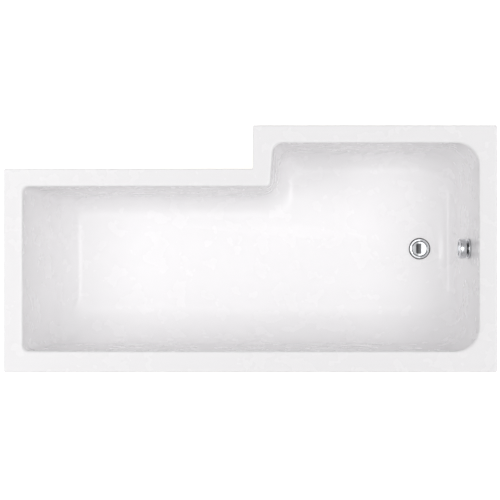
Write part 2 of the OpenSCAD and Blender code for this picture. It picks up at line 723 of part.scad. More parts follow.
module plug_cap() {
    z = waste_z + seal_t + plug_seal_top;
    r = plug_d / 2;
    dome_r = r - 5;
    dome_z = 3.9;
    color("silver") at_waste(z) difference() {
        rotate_extrude($fn = 96) polygon([
            [0, 0], [r - 0.8, 0], [r, 0.8], [r, 2.2], [r - 0.7, 3],
            for (a = [10:-1:0]) [dome_r * a / 10, dome_z + (1 - a * a / 100)],
        ]);
        translate([0, 0, -eps]) cylinder(r = plug_stem_d / 2, h = plug_socket + eps);
    }
}
module plug_stem() {
    top = waste_z + seal_t + plug_seal_top + plug_socket;
    color("silver") at_waste(stem_end) cylinder(d = plug_stem_d, h = top - stem_end);
}
module plug_seal() {
    bore = plug_stem_d / 2 + thread_gap;
    over = 2.5;
    low = seat_z + face_gap;
    color("dimgray") at_waste(waste_z + seal_t) rotate_extrude() polygon([
        [bore, low], [throat_r + 1, low], [throat_r + 1 + over, low + over * seat_rise],
        [throat_r + 1 + over, plug_seal_top], [bore, plug_seal_top],
    ]);
}

module lift_lever() {
    half_t = 4;
    color("whitesmoke") at_lever() difference() {
        union() {
            across(lever_shaft_d / 2 + 2.5, -half_t, half_t);
            translate([-lever_reach, 0, 0]) across(tip_r, -half_t, half_t);
            translate([-lever_reach, -half_t, -2]) cube([lever_reach, 2 * half_t, 4]);
        }
        across(lever_shaft_d / 2, -half_t - eps, half_t + eps);
    }
}
module lever_shaft() {
    color("silver") at_lever() across(lever_shaft_d / 2, crank_y - crank_t / 2 - 1, shaft_in);
}
module lever_crank() {
    y_from = crank_y - crank_t / 2;
    y_to = crank_y + crank_t / 2;
    color("silver") at_lever() difference() {
        union() {
            across(lever_shaft_d / 2 + 3, y_from, y_to);
            translate([0, 0, -crank_arm]) across(3.5, y_from, y_to);
            translate([-3.5, y_from, -crank_arm]) cube([7, crank_t, crank_arm]);
        }
        across(lever_shaft_d / 2, y_from - eps, y_to + eps);
        translate([0, 0, -crank_arm]) across(pin_r + run_gap, y_from - eps, y_to + eps);
    }
}
module pull_wire() {
    color("gray") {
        translate([pin_x, 0, pin_z]) across(pin_r, wire_y - pin_r, crank_y + crank_t / 2 + 1);
        translate([guide_from + wire_in, wire_y, pin_z]) rotate([0, 90, 0])
            cylinder(r = wire_r, h = pin_x - guide_from - wire_in);
    }
}
module cable_guide() {
    color("silver") translate([guide_from, wire_y, guide_mid_z]) rotate([0, 90, 0])
        ring(guide_r, guide_bore, 0, guide_to - guide_from);
}

// Overflow, in its own frame
gasket_t = 1;
plate_r = faceplate_d / 2;
sleeve_r = overflow_hole_d / 2 - 5;
sleeve_t = 3;
sleeve_len = 30;
hub_r = spindle_d / 2 + 3.5;
rear_seal_t = 4;
cup_r = sleeve_r + 5;
cup_end = -42;
cup_back = 4;
rear_flange_t = 6;
rear_flange_r = cup_r + 9;
spigot_r = hose_bore / 2 + 3;
spigot_z = -30;
nut_back = 16;
nut_front = 4;
spigot_end = rear_flange_r + 2 + nut_back;
port_len = 62;
housing_r = 17;
housing_len = 18;
housing_end = cup_end - cup_back - housing_len;
drum_t = 8;
drum_z = cup_end - cup_back - 4 - drum_t;
plate_top = gasket_t + faceplate_t;
knob_z = plate_top + knob_gap;
socket_z = drum_z + drum_t / 2;

module overflow_front_seal() {
    color("dimgray") at_overflow() ring(plate_r - 2, overflow_hole_d / 2 + 1, 0, gasket_t);
}
module overflow_faceplate() {
    color("silver") at_overflow() difference() {
        union() {
            translate([0, 0, gasket_t]) rotate_extrude($fn = 96) polygon([
                [sleeve_r - sleeve_t, -sleeve_len], [sleeve_r, -sleeve_len], [sleeve_r, 0], [plate_r, 0],
                [plate_r, faceplate_t - 2.4], [plate_r - 1, faceplate_t - 1], [plate_r - 3, faceplate_t - 0.3],
                [plate_r - 9, faceplate_t], [sleeve_r, faceplate_t], [sleeve_r - sleeve_t, faceplate_t - 3],
            ]);
            cylinder(r = hub_r, h = gasket_t + faceplate_t - 1);
            for (a = [0, 90]) rotate([0, 0, a]) translate([-sleeve_r + 1, -1.5, 0])
                cube([2 * sleeve_r - 2, 3, 4]);
        }
        translate([0, 0, -eps]) cylinder(r = spindle_d / 2 + run_gap, h = gasket_t + faceplate_t + 2 * eps);
    }
}
module overflow_seal() {
    color("dimgray") at_overflow()
        ring(rear_flange_r, overflow_hole_d / 2 + 1, -sheet - rear_seal_t, rear_seal_t);
}
module overflow_body() {
    flange_top = -sheet - rear_seal_t;
    color("whitesmoke") at_overflow() difference() {
        union() {
            translate([0, 0, flange_top - rear_flange_t]) cylinder(r = rear_flange_r, h = rear_flange_t);
            translate([0, 0, cup_end - cup_back]) cylinder(r = cup_r, h = flange_top - cup_end + cup_back);
            translate([0, 0, spigot_z]) rotate([0, 90, 0]) cylinder(r = spigot_r, h = spigot_end);
        }
        translate([0, 0, cup_end]) cylinder(r = sleeve_r + thread_gap, h = flange_top - cup_end + eps);
        translate([0, 0, spigot_z]) rotate([0, 90, 0]) cylinder(d = hose_bore, h = spigot_end + eps);
        translate([0, 0, cup_end - cup_back - eps])
            cylinder(r = spindle_d / 2 + run_gap, h = cup_back + 2 * eps);
    }
}
module cable_housing() {
    wall = 3;
    top = cup_end - cup_back;
    color("whitesmoke") at_overflow() difference() {
        union() {
            translate([0, 0, housing_end]) cylinder(r = housing_r, h = housing_len);
            translate([0, -drum_r, socket_z]) rotate([0, 90, 0]) cylinder(r = socket_r, h = socket_end);
        }
        translate([0, 0, housing_end + wall]) cylinder(r = housing_r - wall, h = housing_len);
        translate([0, -drum_r, socket_z]) rotate([0, 90, 0]) cylinder(r = wire_r + 1, h = socket_end + eps);
        translate([socket_end - socket_depth, -drum_r, socket_z]) rotate([0, 90, 0])
            cylinder(d = sheath_d, h = socket_depth + eps);
        translate([0, 0, housing_end - eps]) cylinder(r = 1.5, h = wall + 2 * eps);
    }
}
socket_r = sheath_d / 2 + 1.8;
socket_end = housing_r + 12;
socket_depth = 8;

module knob_spindle() {
    from = drum_z - 1;
    color("silver") at_overflow() translate([0, 0, from]) cylinder(d = spindle_d, h = knob_z + 7 - from);
}
module cable_drum() {
    rim = 1.5;
    color("whitesmoke") at_overflow() translate([0, 0, drum_z]) difference() {
        rotate_extrude() polygon([
            [spindle_d / 2, 0], [drum_r + 3, 0], [drum_r + 3, rim], [drum_r, rim + 1],
            [drum_r, drum_t - rim - 1], [drum_r + 3, drum_t - rim], [drum_r + 3, drum_t],
            [spindle_d / 2, drum_t],
        ]);
        translate([0, drum_r + 1, -eps]) cylinder(r = 0.9, h = rim + 2 * eps);
    }
}
module overflow_knob() {
    r = knob_d / 2;
    hub = 12;
    color("silver") at_overflow() difference() {
        rotate_extrude($fn = 96) polygon([
            [0, plate_top + face_gap], [hub, plate_top + face_gap], [hub, knob_z], [r - 5, knob_z],
            [r - 1.5, knob_z + 1.2], [r, knob_z + 3], [r, knob_z + knob_t - 3],
            [r - 0.9, knob_z + knob_t - 0.9], [r - 3, knob_z + knob_t],
            for (a = [8:-1:0]) [(r - 3) * a / 8, knob_z + knob_t + 2 * (1 - a * a / 64)],
        ]);
        translate([0, 0, plate_top]) cylinder(d = spindle_d, h = knob_gap + 7);
        translate([-r, 0, knob_z + knob_t / 2]) rotate([0, 90, 0]) cylinder(r = 2, h = 1.6);
    }
}

// Hose between the spigots, held by a nut at each end
nut_r = spigot_r + 4.5;
HOSE_A = overflow_point(spigot_end + nut_front, 0, spigot_z);
HOSE_B = [waste_x - port_len - nut_front, 0, port_z];
hose_straight = hose_d;
HOSE_PULL = 85;      // length of the bend's handles
function bend(a, b, c, d, t) =
    a * pow(1 - t, 3) + b * 3 * t * pow(1 - t, 2) + c * 3 * t * t * (1 - t) + d * pow(t, 3);
// A point of the hose's middle line at u, from 0 at the overflow to 1 at the waste
hose_bend_len = 230;
hose_len = hose_bend_len + 2 * hose_straight;
HOSE_C = HOSE_A + OUT_DOWN * hose_straight;
HOSE_D = HOSE_B - [hose_straight, 0, 0];
function hose_point(u) =
    let (s = u * hose_len)
    s < hose_straight ? HOSE_A + OUT_DOWN * s
    : s > hose_len - hose_straight ? HOSE_B - [hose_len - s, 0, 0]
    : bend(HOSE_C, HOSE_C + OUT_DOWN * HOSE_PULL, HOSE_D - [HOSE_PULL, 0, 0], HOSE_D,
        (s - hose_straight) / hose_bend_len);

// Tube along points: each ring stands square to the way there, and none twists
function tube_dirs(p) = [for (i = [0:len(p) - 1]) unit(p[min(i + 1, len(p) - 1)] - p[max(i - 1, 0)])];
function tube_ring(at, dir, across_dir, r, sides) =
    let (n = unit(across_dir - dir * (across_dir * dir)), b = cross(dir, n))
    [for (k = [0:sides - 1]) at + r * (n * cos(360 * k / sides) + b * sin(360 * k / sides))];
module tube(path, radii, across_dir, sides, bore_r = 0) {
    n = len(path);
    dirs = tube_dirs(path);
    outer = [for (i = [0:n - 1]) each tube_ring(path[i], dirs[i], across_dir, radii[i], sides)];
    inner = [for (i = [0:n - 1]) each tube_ring(path[i], dirs[i], across_dir, bore_r, sides)];
    off = n * sides;
    walls = [for (i = [0:n - 2], k = [0:sides - 1])
        let (a = i * sides + k, b = i * sides + (k + 1) % sides)
        each [[a, b, b + sides], [a, b + sides, a + sides]]];
    far = (n - 1) * sides;
    faces = bore_r == 0
        ? concat(walls, [[for (k = [sides - 1:-1:0]) k], [for (k = [0:sides - 1]) far + k]])
        : concat(walls, [for (f = walls) [f[2] + off, f[1] + off, f[0] + off]],
            [for (k = [0:sides - 1]) let (j = (k + 1) % sides)
                each [[k, off + k, off + j], [k, off + j, j],
                    [far + k, far + j, off + far + j], [far + k, off + far + j, off + far + k]]]);
    polyhedron(bore_r == 0 ? outer : concat(outer, inner), [for (f = faces) [for (q = [len(f) - 1:-1:0]) f[q]]]);
}
module overflow_hose() {
    halves = 2 * floor(hose_len / rib_pitch);
    root_r = hose_d / 2 - 2.5;
    path = [for (i = [0:halves]) hose_point(i / halves)];
    radii = [for (i = [0:halves]) i > 1 && i < halves - 1 && i % 2 == 0 ? hose_d / 2 : root_r];
    color("gainsboro") tube(path, radii, [0, 1, 0], 8, hose_bore / 2);
}
module hose_nut() {
    // Along +X, with the spigot's end at x = 0
    rotate([0, 90, 0]) difference() {
        translate([0, 0, -nut_back]) cylinder(r = nut_r, h = nut_back + nut_front);
        translate([0, 0, -nut_back - eps]) cylinder(r = spigot_r + thread_gap, h = nut_back + eps);
        translate([0, 0, -eps]) cylinder(d = hose_bore, h = nut_front + 2 * eps);
        for (a = [0:30:330]) rotate([0, 0, a]) translate([nut_r, 0, -nut_back - eps])
            cylinder(r = 1.5, h = nut_back - 2);
    }
}
module hose_nut_overflow() {
    color("whitesmoke") at_overflow() translate([spigot_end, 0, spigot_z]) hose_nut();
}
module hose_nut_waste() {
    color("whitesmoke") translate([waste_x - port_len, 0, port_z]) rotate([0, 0, 180]) hose_nut();
}

// Route of the cable's sheath: its ends follow the sockets, the points between are chosen
SHEATH_A = overflow_point(socket_end - socket_depth, -drum_r, socket_z);
SHEATH_B = [guide_from, wire_y, guide_mid_z];
function below_rim(along, side, down) = [x0 + along, side, rim_height - down];
SHEATH_ROUTE = [
    SHEATH_A, SHEATH_A + OUT_DOWN * 15, SHEATH_A + OUT_DOWN * 30,
    below_rim(58, -12, 260), below_rim(62, -20, 310), below_rim(70, -30, 360),
    below_rim(86, -39, 405), below_rim(115, -46, 442), below_rim(150, -49, 460),
    SHEATH_B - [30, 0, 0], SHEATH_B - [15, 0, 0], SHEATH_B,
];
function spline(p, i, t) =
    let (a = p[max(i - 1, 0)], b = p[i], c = p[i + 1], d = p[min(i + 2, len(p) - 1)])
    0.5 * (2 * b + (c - a) * t + (2 * a - 5 * b + 4 * c - d) * t * t + (3 * b - a - 3 * c + d) * t * t * t);
module cable_sheath() {
    steps = 4;
    n = len(SHEATH_ROUTE);
    path = [for (i = [0:n - 2], k = [0:steps - 1]) spline(SHEATH_ROUTE, i, k / steps), SHEATH_ROUTE[n - 1]];
    color("black") tube(path, [for (p = path) sheath_d / 2], [0, 1, 0], 8);
}

bath_shell();
grp_reinforcement();
baseboard();
batten(0);  // batten_head
batten(1);  // batten_wall_side
batten(2);  // batten_shower_end
batten(3);  // batten_wide_front
batten(4);  // batten_step
batten(5);  // batten_narrow_front
leg_channel(CHANNELS[0]);  // leg_channel_shower
leg_channel(CHANNELS[1]);  // leg_channel_head
centre_bracket();
leg_screws();
foot_nuts();
foot_stud(FEET[0]);  // foot_stud_1
foot_stud(FEET[1]);  // foot_stud_2
foot_stud(FEET[2]);  // foot_stud_3
foot_stud(FEET[3]);  // foot_stud_4
foot_stud(FEET[4]);  // foot_stud_5
foot_cup(FEET[0]);  // foot_cup_1
foot_cup(FEET[1]);  // foot_cup_2
foot_cup(FEET[2]);  // foot_cup_3
foot_cup(FEET[3]);  // foot_cup_4
foot_cup(FEET[4]);  // foot_cup_5
wall_brackets();
bracket_screws();
waste_top_seal();
waste_flange();
waste_bottom_seal();
waste_body();
plug_cap();
plug_stem();
plug_seal();
lift_lever();
lever_shaft();
lever_crank();
pull_wire();
cable_guide();
cable_sheath();
overflow_front_seal();
overflow_faceplate();
overflow_seal();
overflow_body();
cable_housing();
knob_spindle();
cable_drum();
overflow_knob();
overflow_hose();
hose_nut_overflow();
hose_nut_waste();
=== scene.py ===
import json
import math

import bmesh
import bpy
from mathutils import Matrix, Vector


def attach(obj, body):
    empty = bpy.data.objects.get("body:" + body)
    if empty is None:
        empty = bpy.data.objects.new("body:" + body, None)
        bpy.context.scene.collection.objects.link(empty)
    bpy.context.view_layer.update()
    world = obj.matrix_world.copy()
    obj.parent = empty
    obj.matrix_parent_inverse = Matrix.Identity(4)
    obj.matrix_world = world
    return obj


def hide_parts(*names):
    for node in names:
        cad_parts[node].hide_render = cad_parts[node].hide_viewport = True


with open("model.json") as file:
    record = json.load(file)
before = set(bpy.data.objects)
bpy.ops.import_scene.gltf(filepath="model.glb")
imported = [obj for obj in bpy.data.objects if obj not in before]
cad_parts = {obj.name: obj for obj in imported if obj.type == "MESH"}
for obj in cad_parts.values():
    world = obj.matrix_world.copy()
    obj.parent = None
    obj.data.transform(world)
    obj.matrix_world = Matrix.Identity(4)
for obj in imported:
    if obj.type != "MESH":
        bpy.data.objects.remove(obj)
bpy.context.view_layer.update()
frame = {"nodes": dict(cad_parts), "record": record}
MM = 0.001
WORLD = bpy.context.scene.world or bpy.data.worlds.new("studio")
bpy.context.scene.world = WORLD

# Driving sizes of the bath
BATH_LENGTH = 1700
SHOWER_WIDTH = 850
NARROW_WIDTH = 700
SHOWER_LENGTH = 842
RIM_HEIGHT = 550
FRONT_DECK = 52
WALL_DECK = 63
HEAD_DECK = 56
SHOWER_DECK = 53
STEP_DECK = 57
STEP_LEAN = 10
EDGE_R = 5
RIM_CORNER_R = 7
LIP_H = 38
MOUTH_R = 9
BASIN_DEPTH = 397
FLOOR_FALL = 8
SHEET = 5
LAMINATE = 3
SIX = range(6)

# Walls in the order wide front, step, narrow front, head, wall side, shower end.
# Slopes are from upright. A curve is the share of the slope that is missing at the mouth.
# A cove has a width and a height. Each corner is the one at the start of its wall.
SLOPES = [math.radians(a) for a in (5.4, 4.6, 5.4, 22.5, 5.6, 12.4)]
CURVES = [0, 0, 0, 0.25, 0, 0]
COVES = [(72, 82), (50, 74), (72, 82), (42, 80), (126, 150), (24, 45)]
CORNER_R = [80, 35, 14, 20, 20, 85]
CORNER_GROWTH = [30, 15, 60, 15, 30, 30]    # from the mouth to the floor

# Waste and overflow
WASTE_IN = 265
WASTE_HOLE_R = 26
WASTE_FLAT_R = 56
OVERFLOW_DEPTH = 155
OVERFLOW_HOLE_R = 27

X0 = -BATH_LENGTH / 2
X1 = BATH_LENGTH / 2
Y0 = -SHOWER_WIDTH / 2
Y1 = SHOWER_WIDTH / 2
STEP_X = X0 + SHOWER_LENGTH
NARROW_Y = Y1 - NARROW_WIDTH
RIM = [Vector(p) for p in (
    (X0, Y0), (STEP_X, Y0), (STEP_X, NARROW_Y), (X1, NARROW_Y), (X1, Y1), (X0, Y1))]
MOUTH = [Vector(p) for p in (
    (X0 + SHOWER_DECK, Y0 + FRONT_DECK),
    (STEP_X - STEP_DECK - STEP_LEAN / 2, Y0 + FRONT_DECK),
    (STEP_X - STEP_DECK + STEP_LEAN / 2, NARROW_Y + FRONT_DECK),
    (X1 - HEAD_DECK, NARROW_Y + FRONT_DECK),
    (X1 - HEAD_DECK, Y1 - WALL_DECK),
    (X0 + SHOWER_DECK, Y1 - WALL_DECK))]
WASTE_X = X0 + WASTE_IN
WASTE_Z = RIM_HEIGHT - BASIN_DEPTH - FLOOR_FALL
WASTE = Vector((WASTE_X, 0))
SHOWER_LEAN = SLOPES[5]

# Camera: straight above, with the front of the bath at the top of the picture, as the photograph has it
PIXELS = 500
PX_PER_MM = 0.2906
ORIGIN_PX = (250.5, 248.7)      # where the middle of the rim falls in the picture
CAMERA_ABOVE = 70000
CAMERA_CLIP = (1, 200)          # in metres
SENSOR = 36


def add_camera():
    data = bpy.data.cameras.new("camera")
    data.sensor_width = SENSOR
    data.lens = SENSOR * CAMERA_ABOVE * PX_PER_MM / PIXELS
    data.clip_start, data.clip_end = CAMERA_CLIP
    obj = bpy.data.objects.new("camera", data)
    x = (ORIGIN_PX[0] - PIXELS / 2) / PX_PER_MM
    y = (PIXELS / 2 - ORIGIN_PX[1]) / PX_PER_MM
    obj.location = (x * MM, y * MM, (RIM_HEIGHT + CAMERA_ABOVE) * MM)
    obj.rotation_euler = (0, 0, math.pi)
    bpy.context.scene.collection.objects.link(obj)
    bpy.context.scene.camera = obj


# Light: a white dome that fades to the sides, with a dark gap overhead, and two soft boxes.
# The camera itself sees plain white.
DOME_FOCUS = 4.0
DOME_TOP = 2.28
DOME_SIDES = 0.17
DOME_LEAN = (0.03, 0.08, 1)
GAP_X = 0.02            # middle and half width of the dark gap, as slopes from straight up
GAP_HALF = 0.08
GAP_LONG = 0.17         # half its length
GAP_SOFT = 0.03
GAP_LIGHT = 0.1
HEAD_SIDE_LIGHT = 0.4   # share of light from the gap to the wide slopes on the head's side
HEAD_SIDE_SOFT = 0.02
WIDE_SLOPES = (0.5, 1.2)
LEAST_HEIGHT = 0.05     # keeps the slopes finite towards the horizon
SOFT_BOXES = [          # name, place, place looked at, side and power, in metres and watts
    ("head_end", (2.8, -0.2, 3.6), (0, 0, 0.4), 1.8, 44),
    ("shower_end", (-4.0, -0.3, 5.5), (0.6, 0, 0.3), 2.4, 64),
]


def add_soft_box(name, place, look_at, side, power):
    data = bpy.data.lights.new(name, "AREA")
    data.shape = "RECTANGLE"
    data.size = data.size_y = side
    data.energy = power
    obj = bpy.data.objects.new(name, data)
    obj.location = place
    obj.rotation_euler = (Vector(look_at) - Vector(place)).to_track_quat("-Z", "Y").to_euler()
    obj.visible_camera = False
    bpy.context.scene.collection.objects.link(obj)


class Sums:
    """Arithmetic on sockets of a node tree."""

    def __init__(self, tree):
        self.tree = tree

    def math(self, kind, *values):
        made = self.tree.nodes.new("ShaderNodeMath")
        made.operation = kind
        for socket, value in zip(made.inputs, values):
            if isinstance(value, bpy.types.NodeSocket):
                self.tree.links.new(value, socket)
            else:
                socket.default_value = value
        return made.outputs["Value"]

    def band(self, value, low, high, at_low, at_high):
        made = self.tree.nodes.new("ShaderNodeMapRange")
        made.interpolation_type = "SMOOTHSTEP"
        self.tree.links.new(value, made.inputs["Value"])
        for name, number in (("From Min", low), ("From Max", high),
                             ("To Min", at_low), ("To Max", at_high)):
            made.inputs[name].default_value = number
        return made.outputs["Result"]


def add_lights():
    bpy.context.scene.view_settings.view_transform = "Standard"
    WORLD.use_nodes = True
    tree = WORLD.node_tree
    background = tree.nodes["Background"]
    background.inputs["Color"].default_value = (1, 1, 1, 1)
    sums = Sums(tree)
    direction = tree.nodes.new("ShaderNodeTexCoord").outputs["Generated"]
    lean = tree.nodes.new("ShaderNodeVectorMath")
    lean.operation = "DOT_PRODUCT"
    tree.links.new(direction, lean.inputs[0])
    lean.inputs[1].default_value = Vector(DOME_LEAN).normalized()
    apart = tree.nodes.new("ShaderNodeSeparateXYZ")
    tree.links.new(direction, apart.inputs[0])
    height = sums.math("MAXIMUM", apart.outputs["Z"], LEAST_HEIGHT)
    slope = sums.math("DIVIDE", apart.outputs["X"], height)
    along = sums.math("ABSOLUTE", sums.math("DIVIDE", apart.outputs["Y"], height))
    up = sums.math("MAXIMUM", lean.outputs["Value"], 0)
    glow = sums.math("MULTIPLY", sums.math("POWER", up, DOME_FOCUS), DOME_TOP)
    off = sums.math("ABSOLUTE", sums.math("SUBTRACT", slope, GAP_X))
    gap = sums.math("MAXIMUM", sums.band(off, GAP_HALF, GAP_HALF + GAP_SOFT, GAP_LIGHT, 1),
                    sums.band(along, GAP_LONG, GAP_LONG + GAP_SOFT, GAP_LIGHT, 1))
    side = sums.band(slope, GAP_X, GAP_X + HEAD_SIDE_SOFT, 1, HEAD_SIDE_LIGHT)
    wide = sums.band(slope, *WIDE_SLOPES, 0, 1)
    side = sums.math("ADD", side, sums.math("MULTIPLY", wide, 1 - HEAD_SIDE_LIGHT))
    shade = sums.math("MULTIPLY", gap, side)
    strength = sums.math("MULTIPLY", sums.math("ADD", glow, DOME_SIDES), shade)
    seen = tree.nodes.new("ShaderNodeLightPath").outputs["Is Camera Ray"]
    tree.links.new(sums.math("MAXIMUM", strength, seen), background.inputs["Strength"])
    for box in SOFT_BOXES:
        add_soft_box(*box)


# Materials
class Paint:
    """A principled material with short calls for its texture nodes, all in object coordinates."""

    def __init__(self, name, roughness=0.5, metallic=0.0):
        self.material = bpy.data.materials.new(name)
        self.material.use_nodes = True
        self.tree = self.material.node_tree
        self.shader = self.tree.nodes["Principled BSDF"]
        self.shader.inputs["Roughness"].default_value = roughness
        self.shader.inputs["Metallic"].default_value = metallic
        self.coords = self.tree.nodes.new("ShaderNodeTexCoord").outputs["Object"]

    def node(self, kind, **inputs):
        made = self.tree.nodes.new("ShaderNode" + kind)
        for key, value in inputs.items():
            socket = made.inputs[key.replace("_", " ")]
            if isinstance(value, bpy.types.NodeSocket):
                self.tree.links.new(value, socket)
            else:
                socket.default_value = value
        return made

    def stretched(self, scale):
        return self.node("Mapping", Vector=self.coords, Scale=scale).outputs["Vector"]

    def noise(self, scale, detail=4.0, roughness=0.5, vector=None):
        made = self.node("TexNoise", Vector=vector or self.coords, Scale=scale, Detail=detail,
                         Roughness=roughness)
        return made.outputs["Fac"]

    def cells(self, scale, vector=None):
        made = self.node("TexVoronoi", Vector=vector or self.coords, Scale=scale)
        return made.outputs["Color"]

    def ramp(self, factor, stops):
        made = self.node("ValToRGB", Fac=factor)
        band = made.color_ramp
        while len(band.elements) < len(stops):
            band.elements.new(0.5)
        for element, (at, colour) in zip(band.elements, stops):
            element.position = at
            element.color = (*colour, 1)
        return made.outputs["Color"]

    def spread(self, factor, low, high):
        made = self.node("MapRange", Value=factor, To_Min=low, To_Max=high)
        return made.outputs["Result"]

    def colour(self, socket):
        self.tree.links.new(socket, self.shader.inputs["Base Color"])
        return self

    def rough(self, factor, low, high):
        self.tree.links.new(self.spread(factor, low, high), self.shader.inputs["Roughness"])
        return self

    def bump(self, height, strength, depth):
        made = self.node("Bump", Height=height, Strength=strength, Distance=depth * MM)
        previous = self.shader.inputs["Normal"]
        if previous.links:
            self.tree.links.new(previous.links[0].from_socket, made.inputs["Normal"])
        self.tree.links.new(made.outputs["Normal"], previous)
        return self


def acrylic():
    p = Paint("white_acrylic")
    broad = p.noise(2.2, 2)
    p.colour(p.ramp(broad, [(0.3, (0.898, 0.888, 0.898)), (0.7, (0.908, 0.898, 0.908))]))
    p.rough(p.noise(14, 3), 0.24, 0.3)
    p.bump(p.noise(26, 2), 0.05, 0.6)
    return p.material


def glass_fibre():
    p = Paint("glass_fibre")
    strands = p.node("TexWave", Vector=p.coords, Scale=55.0, Distortion=34.0, Detail=3.0,
                     Detail_Scale=2.2).outputs["Fac"]
    cloud = p.noise(9, 5, 0.6)
    mixed = p.node("Math", Value=strands)
    mixed.operation = "MULTIPLY"
    p.tree.links.new(cloud, mixed.inputs[1])
    height = mixed.outputs["Value"]
    p.colour(p.ramp(height, [
        (0.12, (0.70, 0.66, 0.54)), (0.3, (0.80, 0.77, 0.67)), (0.55, (0.88, 0.86, 0.79))]))
    p.rough(cloud, 0.28, 0.55)
    p.bump(height, 0.5, 1.2)
    p.bump(p.noise(30, 4), 0.35, 2.0)
    p.shader.inputs["Subsurface Weight"].default_value = 0.08
    return p.material


def chipboard():
    p = Paint("chipboard")
    chips = p.cells(190, p.stretched((1, 1, 2.6)))
    shade = p.node("SeparateColor", Color=chips).outputs["Red"]
    p.colour(p.ramp(shade, [
        (0.0, (0.34, 0.24, 0.14)), (0.35, (0.56, 0.42, 0.26)), (0.7, (0.68, 0.54, 0.36)),
        (1.0, (0.78, 0.66, 0.47))]))
    p.rough(shade, 0.5, 0.85)
    p.bump(shade, 0.4, 0.5)
    return p.material


def timber():
    p = Paint("sawn_timber")
    grain = p.noise(38, 6, 0.62, p.stretched((0.6, 6, 6)))
    rings = p.node("TexWave", Vector=p.stretched((0.5, 5, 5)), Scale=7.0, Distortion=5.0,
                   Detail=3.0).outputs["Fac"]
    p.colour(p.ramp(rings, [
        (0.0, (0.50, 0.35, 0.19)), (0.5, (0.66, 0.50, 0.31)), (1.0, (0.76, 0.62, 0.43))]))
    p.rough(grain, 0.55, 0.85)
    p.bump(grain, 0.5, 0.5)
    return p.material


def galvanised():
    p = Paint("galvanised_steel", metallic=1.0)
    spangle = p.node("SeparateColor", Color=p.cells(95)).outputs["Green"]
    p.colour(p.ramp(spangle, [
        (0.0, (0.46, 0.49, 0.52)), (0.5, (0.58, 0.60, 0.62)), (1.0, (0.72, 0.74, 0.75))]))
    p.rough(spangle, 0.28, 0.48)
    p.bump(p.noise(160, 3), 0.08, 0.2)
    return p.material


def zinc():
    p = Paint("zinc_plate", metallic=1.0)
    tone = p.noise(120, 3)
    p.colour(p.ramp(tone, [(0.3, (0.58, 0.57, 0.52)), (0.7, (0.74, 0.73, 0.68))]))
    p.rough(tone, 0.24, 0.42)
    return p.material


def chrome():
    p = Paint("polished_chrome", metallic=1.0)
    tone = p.noise(60, 2)
    p.colour(p.ramp(tone, [(0.3, (0.62, 0.63, 0.65)), (0.7, (0.67, 0.68, 0.70))]))
    p.rough(p.noise(220, 3), 0.04, 0.09)
    return p.material


def bright_steel():
    p = Paint("bright_steel", metallic=1.0)
    brushed = p.noise(400, 2, 0.5, p.stretched((1, 1, 0.05)))
    p.colour(p.ramp(brushed, [(0.3, (0.62, 0.62, 0.63)), (0.7, (0.76, 0.76, 0.77))]))
    p.rough(brushed, 0.18, 0.34)
    return p.material


def plastic(name, dark, light, low, high, grain=0.15):
    p = Paint(name)
    tone = p.noise(35, 4)
    p.colour(p.ramp(tone, [(0.3, dark), (0.7, light)]))
    p.rough(tone, low, high)
    p.bump(p.noise(900, 2), grain, 0.15)
    return p.material


MATERIALS = {
    "acrylic": acrylic(),
    "glass_fibre": glass_fibre(),
    "chipboard": chipboard(),
    "timber": timber(),
    "channel_steel": galvanised(),
    "zinc_steel": zinc(),
    "chrome": chrome(),
    "bright_steel": bright_steel(),
    "foot_plastic": plastic("black_plastic", (0.022, 0.022, 0.024), (0.040, 0.040, 0.043),
                            0.38, 0.55, 0.3),
    "rubber_seal": plastic("rubber", (0.018, 0.018, 0.018), (0.032, 0.032, 0.032), 0.6, 0.8, 0.4),
    "waste_plastic": plastic("white_plastic", (0.78, 0.78, 0.76), (0.84, 0.84, 0.82), 0.32, 0.46),
    "lever_plastic": plastic("grey_plastic", (0.26, 0.28, 0.31), (0.34, 0.36, 0.39), 0.35, 0.5),
    "hose_plastic": plastic("hose_plastic", (0.70, 0.71, 0.70), (0.78, 0.79, 0.78), 0.3, 0.45),
    "cable_black": plastic("cable_sheath", (0.020, 0.020, 0.020), (0.035, 0.035, 0.035), 0.35, 0.5),
}
SLOT_OF = {s["node"]: s["material_slot"] for s in frame["record"]["subparts"]}
BODY_OF = {n: body for body, nodes in frame["record"]["behaviour"]["bodies"].items() for n in nodes}
for name, obj in frame["nodes"].items():
    obj.data.materials.clear()
    obj.data.materials.append(MATERIALS[SLOT_OF[name]])


# Pieces: every made mesh rides on a named body, and most stand for a CAD node
def piece(name, points, faces, slot, body="root", stands_for=(), crease=35):
    mesh = bpy.data.meshes.new(name)
    mesh.from_pydata([Vector(p) * MM for p in points], [], faces)
    work = bmesh.new()
    work.from_mesh(mesh)
    bmesh.ops.remove_doubles(work, verts=work.verts, dist=1e-7)
    bmesh.ops.recalc_face_normals(work, faces=work.faces)
    work.to_mesh(mesh)
    work.free()
    obj = bpy.data.objects.new(name, mesh)
    bpy.context.scene.collection.objects.link(obj)
    dress(obj, slot, body, stands_for, crease)
    return obj


def dress(obj, slot, body, stands_for, crease):
    obj.data.materials.clear()
    obj.data.materials.append(MATERIALS[slot])
    obj.data.shade_smooth()
    obj.data.set_sharp_from_angle(angle=math.radians(crease))
    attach(obj, body)
    if stands_for:
        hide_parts(*stands_for)


def stand_in(node, points, faces, crease):
    """A finer mesh for a CAD node, on its body and in its material."""
    return piece(node + "_form", points, faces, SLOT_OF[node], BODY_OF[node], (node,), crease)


# Outlines with rounded corners, as the CAD source has them
ARC = 18                                # steps round each corner
SPAN_STEPS = [22, 7, 24, 16, 34, 20]    # points along each straight side, its corners left out
SUPPORT = 5                             # distance of the first and last of them from the corners
SUPPORT_SHARE = 0.2                     # and at most this share of the side


def inward(d):
    return Vector((-d.y, d.x))


def cross2(a, b):
    return a.x * b.y - a.y * b.x


